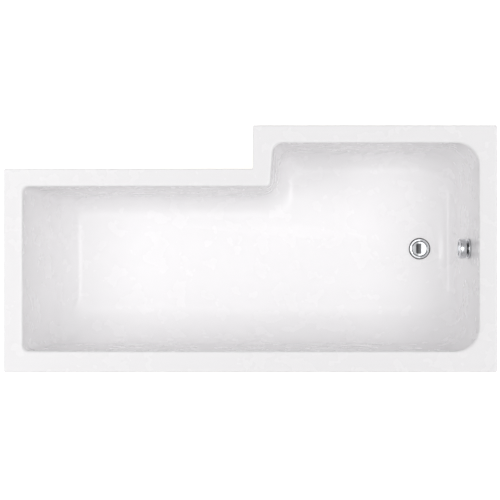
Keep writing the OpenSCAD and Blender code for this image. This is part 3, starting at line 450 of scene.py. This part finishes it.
def moved_corners(base, insets):
    """Corners of an outline whose sides are moved inward, each by its own inset."""
    corners = []
    for i in SIX:
        j = (i + 5) % 6
        d = (base[i] - base[j]).normalized()
        e = (base[(i + 1) % 6] - base[i]).normalized()
        p = base[j] + inward(d) * insets[j]
        q = base[i] + inward(e) * insets[i]
        corners.append(p + d * (cross2(q - p, e) / cross2(d, e)))
    return corners


def corner_arc(before, at, after, r):
    u = (before - at).normalized()
    v = (after - at).normalized()
    half = math.acos(max(-1, min(1, u.dot(v)))) / 2
    centre = at + (u + v).normalized() * r / math.sin(half)
    start = at + u * r / math.tan(half) - centre
    turn = math.pi - 2 * half
    if cross2(at - before, after - at) < 0:
        turn = -turn
    a = math.atan2(start.y, start.x)
    return [centre + r * Vector((math.cos(a + turn * k / ARC), math.sin(a + turn * k / ARC)))
            for k in range(ARC + 1)]


def outline(base, insets, radii):
    """A closed loop of points. Its number of points is always the same, so loops can be joined."""
    c = moved_corners(base, insets)
    arcs = [corner_arc(c[(i + 5) % 6], c[i], c[(i + 1) % 6], radii[i]) for i in SIX]
    points = []
    for i in SIX:
        points += arcs[i]
        a, b = arcs[i][-1], arcs[(i + 1) % 6][0]
        support = min(SUPPORT / (b - a).length, SUPPORT_SHARE)
        steps = SPAN_STEPS[i]
        for k in range(steps):
            points.append(a.lerp(b, support + (1 - 2 * support) * k / (steps - 1)))
    return points


def raised(points, z):
    return [Vector((p.x, p.y, z)) for p in points]


# Wall profile, as the CAD source has it
def lean_in(i, d):
    return math.tan(SLOPES[i]) * d * (1 - CURVES[i] * (1 - d / BASIN_DEPTH))


def lean_start(i):
    return math.tan(SLOPES[i]) * (1 - CURVES[i])


def back_off(i, t):
    return t / math.cos(SLOPES[i])


def wall_in(i, d, wall_t, floor_t):
    """How far wall i stands in from the mouth at depth d, on a face set back by the thicknesses."""
    end = BASIN_DEPTH + floor_t
    h = COVES[i][1] + floor_t
    w = COVES[i][0] + back_off(i, wall_t) - lean_in(i, end) + lean_in(i, BASIN_DEPTH)
    v = max(0, min(1, (d - end + h) / h))
    return MOUTH_R - back_off(i, wall_t) + lean_in(i, d) + w * (1 - math.sqrt(1 - v * v))


def wall_ring(d, wall_t, floor_t):
    insets = [wall_in(i, d, wall_t, floor_t) for i in SIX]
    radii = [CORNER_R[i] + CORNER_GROWTH[i] * d / BASIN_DEPTH for i in SIX]
    return raised(outline(MOUTH, insets, radii), RIM_HEIGHT - d)


TALL_COVE = max(c[1] for c in COVES)
LAMINATE_START = 45
UPPER_STEPS = 7
COVE_STEPS = 26


def wall_depths(floor_t):
    end = BASIN_DEPTH + floor_t
    h = TALL_COVE + floor_t
    upper = [LAMINATE_START + (end - h - LAMINATE_START) * k / UPPER_STEPS for k in range(UPPER_STEPS)]
    cove = [end - h + h * math.sin(math.pi / 2 * k / COVE_STEPS) for k in range(COVE_STEPS + 1)]
    return upper + cove


MOUTH_TIGHTER = 0.8     # how much the mouth's curve shrinks for each millimetre under the surface
MOUTH_STEPS = [k / 8 for k in range(9)]
FLOOR_STEPS = [0.02, 0.06, 0.12, 0.2, 0.3, 0.42, 0.55, 0.68, 0.8, 0.9, 0.96, 1]


def mouth_ring(u, t):
    """Loop on the mouth's curve, from the deck at u = 0 to the wall at u = 1."""
    drop = MOUTH_R - MOUTH_TIGHTER * t
    insets = []
    for i in SIX:
        start = MOUTH_R - back_off(i, t)
        bend = start + lean_start(i) * t
        insets.append(2 * u * (1 - u) * bend + u * u * (bend + lean_start(i) * drop))
    return raised(outline(MOUTH, insets, CORNER_R), RIM_HEIGHT - t - u * u * drop)


def floor_ring(f, wall_t, floor_t, fall, inner_r=WASTE_FLAT_R):
    """Loop on the floor, from the foot of the walls at f = 0 to a circle round the waste at f = 1."""
    edge = wall_ring(BASIN_DEPTH + floor_t, wall_t, floor_t)
    eased = f - math.sin(2 * math.pi * f) / (2 * math.pi)
    ring = []
    for p in edge:
        flat = Vector((p.x, p.y))
        rim = WASTE + (flat - WASTE).normalized() * inner_r
        q = flat.lerp(rim, f)
        ring.append(Vector((q.x, q.y, p.z - fall * eased)))
    return ring


def waste_circles(wall_t, floor_t, fall, radii):
    return [floor_ring(1, wall_t, floor_t, fall, r) for r in radii]


def loops_to_mesh(loops):
    """Quads between loops, the last joined to the first, so the surface closes round a hole."""
    n = len(loops[0])
    points = [p for loop in loops for p in loop]
    faces = []
    for k in range(len(loops)):
        a = k * n
        b = (k + 1) % len(loops) * n
        faces += [(a + i, a + (i + 1) % n, b + (i + 1) % n, b + i) for i in range(n)]
    return points, faces


def cut_round_hole(obj, radius, depth, matrix):
    """Drills a round hole along the matrix's Z, and leaves no modifier behind."""
    work = bmesh.new()
    bmesh.ops.create_cone(work, cap_ends=True, segments=96, radius1=radius * MM, radius2=radius * MM,
                          depth=2 * depth * MM, matrix=matrix)
    mesh = bpy.data.meshes.new("drill")
    work.to_mesh(mesh)
    work.free()
    drill = bpy.data.objects.new("drill", mesh)
    bpy.context.scene.collection.objects.link(drill)
    cut = obj.modifiers.new("hole", "BOOLEAN")
    cut.object = drill
    cut.operation = "DIFFERENCE"
    cut.solver = "EXACT"
    graph = bpy.context.evaluated_depsgraph_get()
    result = bpy.data.meshes.new_from_object(obj.evaluated_get(graph))
    obj.modifiers.clear()
    obj.data = result
    bpy.data.objects.remove(drill)


# Frame of the overflow, with Z out of the wall and X down the wall, in metres and in millimetres
OVERFLOW_X = MOUTH[0].x + MOUTH_R + lean_in(5, OVERFLOW_DEPTH)
OVERFLOW_Z = RIM_HEIGHT - OVERFLOW_DEPTH
OVERFLOW_TURN = Matrix.Rotation(math.pi / 2 - SHOWER_LEAN, 4, "Y")
AT_OVERFLOW = Matrix.Translation(Vector((OVERFLOW_X, 0, OVERFLOW_Z)) * MM) @ OVERFLOW_TURN
IN_OVERFLOW = Matrix.Translation((OVERFLOW_X, 0, OVERFLOW_Z)) @ OVERFLOW_TURN
OUT_DOWN = Vector((math.sin(SHOWER_LEAN), 0, -math.cos(SHOWER_LEAN)))
OUT_IN = Vector((math.cos(SHOWER_LEAN), 0, math.sin(SHOWER_LEAN)))


def overflow_point(down, side, out):
    """A point in millimetres, from its place in the frame of the overflow."""
    return Vector((OVERFLOW_X, side, OVERFLOW_Z)) + OUT_DOWN * down + OUT_IN * out


# Shell and laminate, each as loops that run down to the waste and back up the other face
EDGE_STEPS = 7
LIP_BEVEL = 0.8
DECK_SPANS = (0.06, 0.5, 0.94)  # loops across the deck, as shares of its width
UPPER_DEPTHS = (14, 26)         # loops on the walls above the laminate
WASTE_MID_R = 40                # loop on the flat ring round the waste's hole
DRILL_DEPTH = 30
SHELL_CREASE = 50
GLUE = 0.05
LAMINATE_WASTE_R = 46
LAMINATE_OVERFLOW_R = 40
LAMINATE_DRILL_DEPTH = 40
LAMINATE_CREASE = 60


def bath_shell():
    def rim_loop(inset, z):
        return raised(outline(RIM, [inset] * 6, [RIM_CORNER_R - inset] * 6), z)

    def between(a, b, f):
        return [p.lerp(q, f) for p, q in zip(a, b)]

    lip_z = RIM_HEIGHT - LIP_H
    turns = [math.pi / 2 * k / EDGE_STEPS for k in range(EDGE_STEPS + 1)]
    deck_out = rim_loop(EDGE_R, RIM_HEIGHT)
    deck_in = mouth_ring(0, 0)
    top = [rim_loop(LIP_BEVEL, lip_z), rim_loop(0, lip_z + LIP_BEVEL)]
    top += [rim_loop(EDGE_R * (1 - math.cos(a)), RIM_HEIGHT - EDGE_R + EDGE_R * math.sin(a))
            for a in turns]
    top += [between(deck_out, deck_in, f) for f in DECK_SPANS]
    top += [mouth_ring(u, 0) for u in MOUTH_STEPS]
    top += [wall_ring(d, 0, 0) for d in (*UPPER_DEPTHS, *wall_depths(0))]
    top += [floor_ring(f, 0, 0, FLOOR_FALL) for f in FLOOR_STEPS]
    top += waste_circles(0, 0, FLOOR_FALL, (WASTE_MID_R, WASTE_HOLE_R + 1, WASTE_HOLE_R))
    under = waste_circles(SHEET, SHEET, FLOOR_FALL, (WASTE_HOLE_R, WASTE_MID_R))
    under += [floor_ring(f, SHEET, SHEET, FLOOR_FALL) for f in reversed(FLOOR_STEPS)]
    under += [wall_ring(d, SHEET, SHEET) for d in reversed((*UPPER_DEPTHS, *wall_depths(SHEET)))]
    under += [mouth_ring(u, SHEET) for u in reversed(MOUTH_STEPS)]
    under += [rim_loop(SHEET, RIM_HEIGHT - SHEET), rim_loop(SHEET, lip_z + LIP_BEVEL),
              rim_loop(SHEET - LIP_BEVEL, lip_z)]
    shell = stand_in("bath_shell", *loops_to_mesh(top + under), SHELL_CREASE)
    cut_round_hole(shell, OVERFLOW_HOLE_R, DRILL_DEPTH, AT_OVERFLOW)
    dress(shell, "acrylic", "root", (), SHELL_CREASE)


def laminate():
    front = SHEET + GLUE
    back = SHEET + LAMINATE
    bed = FLOOR_FALL + SHEET + LAMINATE
    loops = [wall_ring(d, front, front) for d in wall_depths(SHEET)]
    loops += [floor_ring(f, front, front, FLOOR_FALL) for f in FLOOR_STEPS]
    loops += waste_circles(SHEET, SHEET, FLOOR_FALL, (LAMINATE_WASTE_R,))
    loops += waste_circles(back, bed, 0, (LAMINATE_WASTE_R,))
    loops += [floor_ring(f, back, bed, 0) for f in reversed(FLOOR_STEPS)]
    loops += [wall_ring(d, back, bed) for d in reversed(wall_depths(bed))]
    skin = stand_in("grp_reinforcement", *loops_to_mesh(loops), LAMINATE_CREASE)
    cut_round_hole(skin, LAMINATE_OVERFLOW_R, LAMINATE_DRILL_DEPTH, AT_OVERFLOW)
    dress(skin, "glass_fibre", "root", (), LAMINATE_CREASE)


# Turned pieces
FINE = 128              # steps round the pieces that are seen close
COARSE = 48
DOME_STEPS = 14
TURNED_CREASE = 40
RIBBED_CREASE = 60


def turned(profile, steps):
    """A closed profile turned round Z. A point on the axis is shared by all its faces."""
    ways = [2 * math.pi * k / steps for k in range(steps)]
    points, index = [], []
    for r, z in profile:
        if abs(r) < 1e-6:
            index.append([len(points)] * steps)
            points.append(Vector((0, 0, z)))
        else:
            index.append([len(points) + k for k in range(steps)])
            points += [Vector((r * math.cos(a), r * math.sin(a), z)) for a in ways]
    faces = []
    for low, high in zip(index, index[1:] + index[:1]):
        for k in range(steps):
            m = (k + 1) % steps
            quad = []
            for v in (low[k], low[m], high[m], high[k]):
                if v not in quad:
                    quad.append(v)
            if len(quad) > 2:
                faces.append(tuple(quad))
    return points, faces


def rounded(profile, r, steps=5):
    """A closed profile of straight lines with each corner rounded by r, where it has room."""
    n = len(profile)
    out = []
    for i in range(n):
        a, b, c = (Vector(profile[(i + k) % n]) for k in (-1, 0, 1))
        room = min((a - b).length, (c - b).length) / 2.2
        cut = min(r, room)
        if b.x < 1e-6 or cut < 1e-4:
            out.append(tuple(b))
            continue
        p = b + (a - b).normalized() * cut
        q = b + (c - b).normalized() * cut
        for k in range(steps + 1):
            t = k / steps
            out.append(tuple(p * (1 - t) ** 2 + b * 2 * t * (1 - t) + q * t * t))
    return out


def dome(radius, z, rise):
    """Profile of a shallow dome, from its edge to the axis."""
    shares = [k / DOME_STEPS for k in range(DOME_STEPS, -1, -1)]
    return [(radius * f, z + rise * (1 - f ** 2)) for f in shares]


def box_mesh(low, high):
    (a, b, c), (d, e, f) = low, high
    points = [(a, b, c), (d, b, c), (d, e, c), (a, e, c), (a, b, f), (d, b, f), (d, e, f), (a, e, f)]
    faces = [(0, 3, 2, 1), (4, 5, 6, 7), (0, 1, 5, 4), (1, 2, 6, 5), (2, 3, 7, 6), (3, 0, 4, 7)]
    return points, faces


def joined(*meshes):
    points, faces = [], []
    for p, f in meshes:
        start = len(points)
        points += [Vector(q) for q in p]
        faces += [tuple(v + start for v in face) for face in f]
    return points, faces


def moved(mesh, matrix_mm):
    points, faces = mesh
    return [matrix_mm @ Vector(p) for p in points], faces


def at(x, y, z, turn=0.0):
    return Matrix.Translation((x, y, z)) @ Matrix.Rotation(turn, 4, "Z")


# Waste ring and plug. Levels are counted from the bath's floor at the waste, or from the seal on it.
SEAL_T = 1
RING_R = 34
RING_H = 4.5
RING_DISH = 1
THROAT_R = 20
THROAT_OUT = 24
THROAT_LEN = 30
PLUG_R = 25
PLUG_STEM_R = 4
RECESS_R = PLUG_R + 1.5
SEAT_Z = -0.4
SEAT_RISE = 0.2
PLUG_SEAL_TOP = 1.6
PLUG_EDGE = 3.9
PLUG_RISE = 1
GUIDE_T = 6
GUIDE_LIFT = 3
ARM_HALF = 1.5
RUN_GAP = 0.05


def waste_ring():
    z = WASTE_Z + SEAL_T
    end = WASTE_Z - THROAT_LEN - z
    ring = turned(rounded([
        (THROAT_R, end), (THROAT_OUT, end), (THROAT_OUT, 0), (RING_R, 0), (RING_R, RING_H - 0.9),
        (RING_R - 1.7, RING_H), (RECESS_R + 1, RING_H - RING_DISH), (RECESS_R, RING_H - RING_DISH - 1),
        (RECESS_R, SEAT_Z + SEAT_RISE * (RECESS_R - THROAT_R - 1)), (THROAT_R + 1, SEAT_Z),
        (THROAT_R, SEAT_Z - 1)], 0.8), FINE)
    guide = end + GUIDE_LIFT
    hub = turned(rounded([
        (PLUG_STEM_R + RUN_GAP, guide), (PLUG_STEM_R + 4, guide), (PLUG_STEM_R + 4, guide + GUIDE_T),
        (PLUG_STEM_R + RUN_GAP, guide + GUIDE_T)], 0.6), COARSE)
    arm = box_mesh((PLUG_STEM_R + 3, -ARM_HALF, guide), (THROAT_R + 0.5, ARM_HALF, guide + GUIDE_T))
    arms = [moved(arm, at(0, 0, 0, math.radians(45 + 90 * k))) for k in range(4)]
    stand_in("waste_flange", *moved(joined(ring, hub, *arms), at(WASTE_X, 0, z)), TURNED_CREASE)


def plug_cap():
    z = WASTE_Z + SEAL_T + PLUG_SEAL_TOP
    rim = rounded([(0, 0), (PLUG_R - 0.8, 0), (PLUG_R, 0.8), (PLUG_R, 2.4), (PLUG_R - 0.9, 3.1)], 0.5)
    cap = turned(rim + dome(PLUG_R - 5, PLUG_EDGE, PLUG_RISE), FINE)
    stand_in("plug_cap", *moved(cap, at(WASTE_X, 0, z)), TURNED_CREASE)


# Overflow knob and faceplate, in the overflow's own frame
PLATE_R = 35
PLATE_T = 8
KNOB_R = 34
KNOB_T = 23
KNOB_GAP = 4
PLATE_TOP = SEAL_T + PLATE_T
KNOB_Z = PLATE_TOP + KNOB_GAP
SLEEVE_R = 22
SLEEVE_END = -30
SPINDLE_R = 4
NECK_R = 12
NECK_Z = PLATE_TOP + 0.3
KNOB_RISE = 2
NOTCH_R = 2
NOTCH_DEPTH = 1.6
KNOB_CREASE = 50


def overflow_faceplate():
    plate = turned(rounded([
        (SLEEVE_R - 3, SLEEVE_END), (SLEEVE_R, SLEEVE_END), (SLEEVE_R, SEAL_T), (PLATE_R, SEAL_T),
        (PLATE_R, PLATE_TOP - 2.4), (PLATE_R - 1, PLATE_TOP - 1), (PLATE_R - 3, PLATE_TOP - 0.3),
        (PLATE_R - 9, PLATE_TOP), (SLEEVE_R, PLATE_TOP), (SLEEVE_R - 3, PLATE_TOP - 3)], 1.0), FINE)
    hub = turned(rounded([
        (SPINDLE_R + RUN_GAP, 0), (SPINDLE_R + 3.5, 0), (SPINDLE_R + 3.5, PLATE_TOP - 1),
        (SPINDLE_R + RUN_GAP, PLATE_TOP - 1)], 0.5), COARSE)
    arm = box_mesh((SPINDLE_R + 3, -ARM_HALF, 0), (SLEEVE_R - 2.5, ARM_HALF, 4))
    arms = [moved(arm, at(0, 0, 0, math.radians(90 * k))) for k in range(4)]
    stand_in("overflow_faceplate", *moved(joined(plate, hub, *arms), IN_OVERFLOW), TURNED_CREASE)


def overflow_knob():
    rim = rounded([
        (0, NECK_Z), (NECK_R, NECK_Z), (NECK_R, KNOB_Z), (KNOB_R - 5, KNOB_Z), (KNOB_R, KNOB_Z + 2.2),
        (KNOB_R, KNOB_Z + KNOB_T - 2), (KNOB_R - 2, KNOB_Z + KNOB_T)], 1.4, 7)
    solid = turned(rim + dome(KNOB_R - 3, KNOB_Z + KNOB_T, KNOB_RISE), FINE)
    knob = stand_in("overflow_knob", *moved(solid, IN_OVERFLOW), KNOB_CREASE)
    notch = (AT_OVERFLOW @ Matrix.Translation(Vector((-KNOB_R, 0, KNOB_Z + KNOB_T / 2)) * MM)
             @ Matrix.Rotation(math.pi / 2, 4, "Y"))
    cut_round_hole(knob, NOTCH_R, NOTCH_DEPTH, notch)
    dress(knob, "chrome", "knob", (), KNOB_CREASE)


# Feet
STUD_R = 5
STUD_PITCH = 1.5
CUP_R = 25
CUP_H = 22
CUP_FLOOR = 10
ROWS_PER_TURN = 4
COLLAR_R = STUD_R + 5
CUP_RUN = 0.1
CUP_STEPS = 72
CUP_RIBS = 8
RIB_HALF = 0.9
FEET = [(-400, -350, 151), (-400, 350, 151), (420, -200, 151), (420, 350, 151), (20, 42, 101)]


def threaded_rod(r, z0, z1, pitch, steps=20, depth=0.75):
    """A rod whose surface rises and falls once a turn, with plain ends."""
    rows = int((z1 - z0) / pitch * ROWS_PER_TURN)
    points, faces = [], []
    for row in range(rows + 1):
        z = z0 + (z1 - z0) * row / rows
        plain = min(z - z0, z1 - z) < pitch
        for k in range(steps):
            phase = (z / pitch - k / steps) % 1
            cut = depth if plain else depth * (1 - abs(2 * phase - 1))
            a = 2 * math.pi * k / steps
            points.append(((r - cut) * math.cos(a), (r - cut) * math.sin(a), z))
    for row in range(rows):
        a, b = row * steps, (row + 1) * steps
        faces += [(a + k, a + (k + 1) % steps, b + (k + 1) % steps, b + k) for k in range(steps)]
    faces.append(tuple(range(steps))[::-1])
    faces.append(tuple(range(rows * steps, rows * steps + steps)))
    return points, faces


def feet():
    for k, (x, y, top) in enumerate(FEET, 1):
        rod = threaded_rod(STUD_R, CUP_FLOOR, top, STUD_PITCH)
        stand_in(f"foot_stud_{k}", *moved(rod, at(x, y, 0)), RIBBED_CREASE)
        cup = turned(rounded([
            (0, 0), (CUP_R - 1, 0), (CUP_R, 1), (CUP_R, 5), (CUP_R - 1, 6), (COLLAR_R + 3, 8),
            (COLLAR_R, CUP_H - 2), (COLLAR_R - 1, CUP_H), (STUD_R + CUP_RUN, CUP_H),
            (STUD_R + CUP_RUN, CUP_FLOOR), (0, CUP_FLOOR)], 0.8), CUP_STEPS)
        rib = box_mesh((COLLAR_R - 0.6, -RIB_HALF, 5.5), (CUP_R - 4, RIB_HALF, 9))
        ribs = [moved(rib, at(0, 0, 0, 2 * math.pi * n / CUP_RIBS)) for n in range(CUP_RIBS)]
        stand_in(f"foot_cup_{k}", *moved(joined(cup, *ribs), at(x, y, 0)), TURNED_CREASE)


# Hose and cable, along the routes of the CAD source
HOSE_R = 15
HOSE_BORE = 21
PORT_LEN = 62
PORT_Z = 97
SPIGOT_Z = -30
SPIGOT_END = 54
NUT_FRONT = 4
HOSE_STRAIGHT = 30
HOSE_PULL = 85
HOSE_BEND_LEN = 230
HOSE_LEN = HOSE_BEND_LEN + 2 * HOSE_STRAIGHT
HOSE_SIDES = 28
RIB_PITCH = 6
RIB_DEPTH = 2.5
STEPS_PER_RIB = 6
RIB_FULLNESS = 0.6      # under 1 the tops of the ribs are wider than the grooves


def bend(a, b, c, d, t):
    return a * (1 - t) ** 3 + b * 3 * t * (1 - t) ** 2 + c * 3 * t * t * (1 - t) + d * t ** 3


def hose_point(s):
    a = overflow_point(SPIGOT_END + NUT_FRONT, 0, SPIGOT_Z)
    b = Vector((WASTE_X - PORT_LEN - NUT_FRONT, 0, PORT_Z))
    along = Vector((1, 0, 0))
    if s < HOSE_STRAIGHT:
        return a + OUT_DOWN * s
    if s > HOSE_LEN - HOSE_STRAIGHT:
        return b - along * (HOSE_LEN - s)
    c = a + OUT_DOWN * HOSE_STRAIGHT
    d = b - along * HOSE_STRAIGHT
    share = (s - HOSE_STRAIGHT) / HOSE_BEND_LEN
    return bend(c, c + OUT_DOWN * HOSE_PULL, d - along * HOSE_PULL, d, share)


def tube(path, radii, across, sides, bore=0.0):
    """A round tube along a path, solid where it has no bore."""
    n = len(path)
    outer, inner = [], []
    for i, p in enumerate(path):
        way = (path[min(i + 1, n - 1)] - path[max(i - 1, 0)]).normalized()
        side = (across - way * across.dot(way)).normalized()
        up = way.cross(side)
        for k in range(sides):
            a = 2 * math.pi * k / sides
            spoke = side * math.cos(a) + up * math.sin(a)
            outer.append(p + spoke * radii[i])
            inner.append(p + spoke * bore)
    faces = []
    for i in range(n - 1):
        for k in range(sides):
            a, b = i * sides + k, i * sides + (k + 1) % sides
            faces.append((a, b, b + sides, a + sides))
            if bore:
                off = n * sides
                faces.append((a + off + sides, b + off + sides, b + off, a + off))
    far = (n - 1) * sides
    if not bore:
        return outer, faces + [tuple(range(sides))[::-1], tuple(range(far, far + sides))]
    off = n * sides
    for k in range(sides):
        m = (k + 1) % sides
        faces.append((k, off + k, off + m, m))
        faces.append((far + k, far + m, off + far + m, off + far + k))
    return outer + inner, faces


def overflow_hose():
    steps = int(HOSE_LEN / RIB_PITCH) * STEPS_PER_RIB
    path, radii = [], []
    for i in range(steps + 1):
        path.append(hose_point(HOSE_LEN * i / steps))
        plain = min(i, steps - i) < STEPS_PER_RIB
        wave = 0 if plain else 0.5 - 0.5 * math.cos(2 * math.pi * i / STEPS_PER_RIB)
        radii.append(HOSE_R - RIB_DEPTH + RIB_DEPTH * wave ** RIB_FULLNESS)
    mesh = tube(path, radii, Vector((0, 1, 0)), HOSE_SIDES, HOSE_BORE / 2)
    stand_in("overflow_hose", *mesh, RIBBED_CREASE)


SHEATH_R = 2.5
DRUM_R = 8
SOCKET_Z = -54
SHEATH_START = 21
SHEATH_SIDES = 18
SHEATH_STEPS = 8        # between one point of the route and the next
SHEATH_VIA = [(-792, -12, 290), (-788, -20, 240), (-780, -30, 190), (-764, -39, 145),
              (-735, -46, 108), (-700, -49, 90)]
END_RUN = 15
GUIDE_FROM = (WASTE_X - 50, -49.5, 84.03)


def spline(p, i, t):
    """A smooth curve through all points, at share t between point i and the next."""
    a, b, c, d = p[max(i - 1, 0)], p[i], p[i + 1], p[min(i + 2, len(p) - 1)]
    return 0.5 * (2 * b + (c - a) * t + (2 * a - 5 * b + 4 * c - d) * t * t
                  + (3 * b - a - 3 * c + d) * t ** 3)


def cable_sheath():
    start = overflow_point(SHEATH_START, -DRUM_R, SOCKET_Z)
    end = Vector(GUIDE_FROM)
    route = [start, start + OUT_DOWN * END_RUN, start + OUT_DOWN * 2 * END_RUN,
             *(Vector(p) for p in SHEATH_VIA),
             end - Vector((2 * END_RUN, 0, 0)), end - Vector((END_RUN, 0, 0)), end]
    path = [spline(route, i, k / SHEATH_STEPS)
            for i in range(len(route) - 1) for k in range(SHEATH_STEPS)]
    path.append(end)
    radii = [SHEATH_R] * len(path)
    stand_in("cable_sheath", *tube(path, radii, Vector((0, 1, 0)), SHEATH_SIDES), RIBBED_CREASE)


THREAD_R = 24.15
THREAD_FROM = 39
THREAD_TO = 70
THREAD_PITCH = 2.31
THREAD_DEPTH = 0.9
THREAD_STEPS = 64


def outlet_thread():
    """Pipe thread round the waste's plain outlet, open at both ends."""
    points, faces = threaded_rod(THREAD_R, THREAD_FROM, THREAD_TO, THREAD_PITCH, THREAD_STEPS,
                                 THREAD_DEPTH)
    sides = faces[:-2]
    piece("outlet_thread", *moved((points, sides), at(WASTE_X, 0, 0)), "waste_plastic")


# Floor: pale, a little bright of itself, and see-through from below
FLOOR_HALF = 9          # in metres
FLOOR_GLOW = 0.5


def floor():
    h = FLOOR_HALF
    mesh = bpy.data.meshes.new("floor")
    mesh.from_pydata([(-h, -h, 0), (h, -h, 0), (h, h, 0), (-h, h, 0)], [], [(0, 1, 2, 3)])
    obj = bpy.data.objects.new("floor", mesh)
    bpy.context.scene.collection.objects.link(obj)
    p = Paint("pale_floor", 0.6)
    p.colour(p.ramp(p.noise(3, 2), [(0.3, (0.93, 0.93, 0.93)), (0.7, (0.95, 0.95, 0.95))]))
    p.shader.inputs["Emission Color"].default_value = (1, 1, 1, 1)
    p.shader.inputs["Emission Strength"].default_value = FLOOR_GLOW
    both = p.tree.nodes.new("ShaderNodeMixShader")
    p.tree.links.new(p.tree.nodes.new("ShaderNodeNewGeometry").outputs["Backfacing"], both.inputs[0])
    p.tree.links.new(p.shader.outputs[0], both.inputs[1])
    p.tree.links.new(p.tree.nodes.new("ShaderNodeBsdfTransparent").outputs[0], both.inputs[2])
    p.tree.links.new(both.outputs[0], p.tree.nodes["Material Output"].inputs["Surface"])
    mesh.materials.append(p.material)


add_camera()
add_lights()
bath_shell()
laminate()
waste_ring()
plug_cap()
overflow_faceplate()
overflow_knob()
feet()
overflow_hose()
cable_sheath()
outlet_thread()
floor()
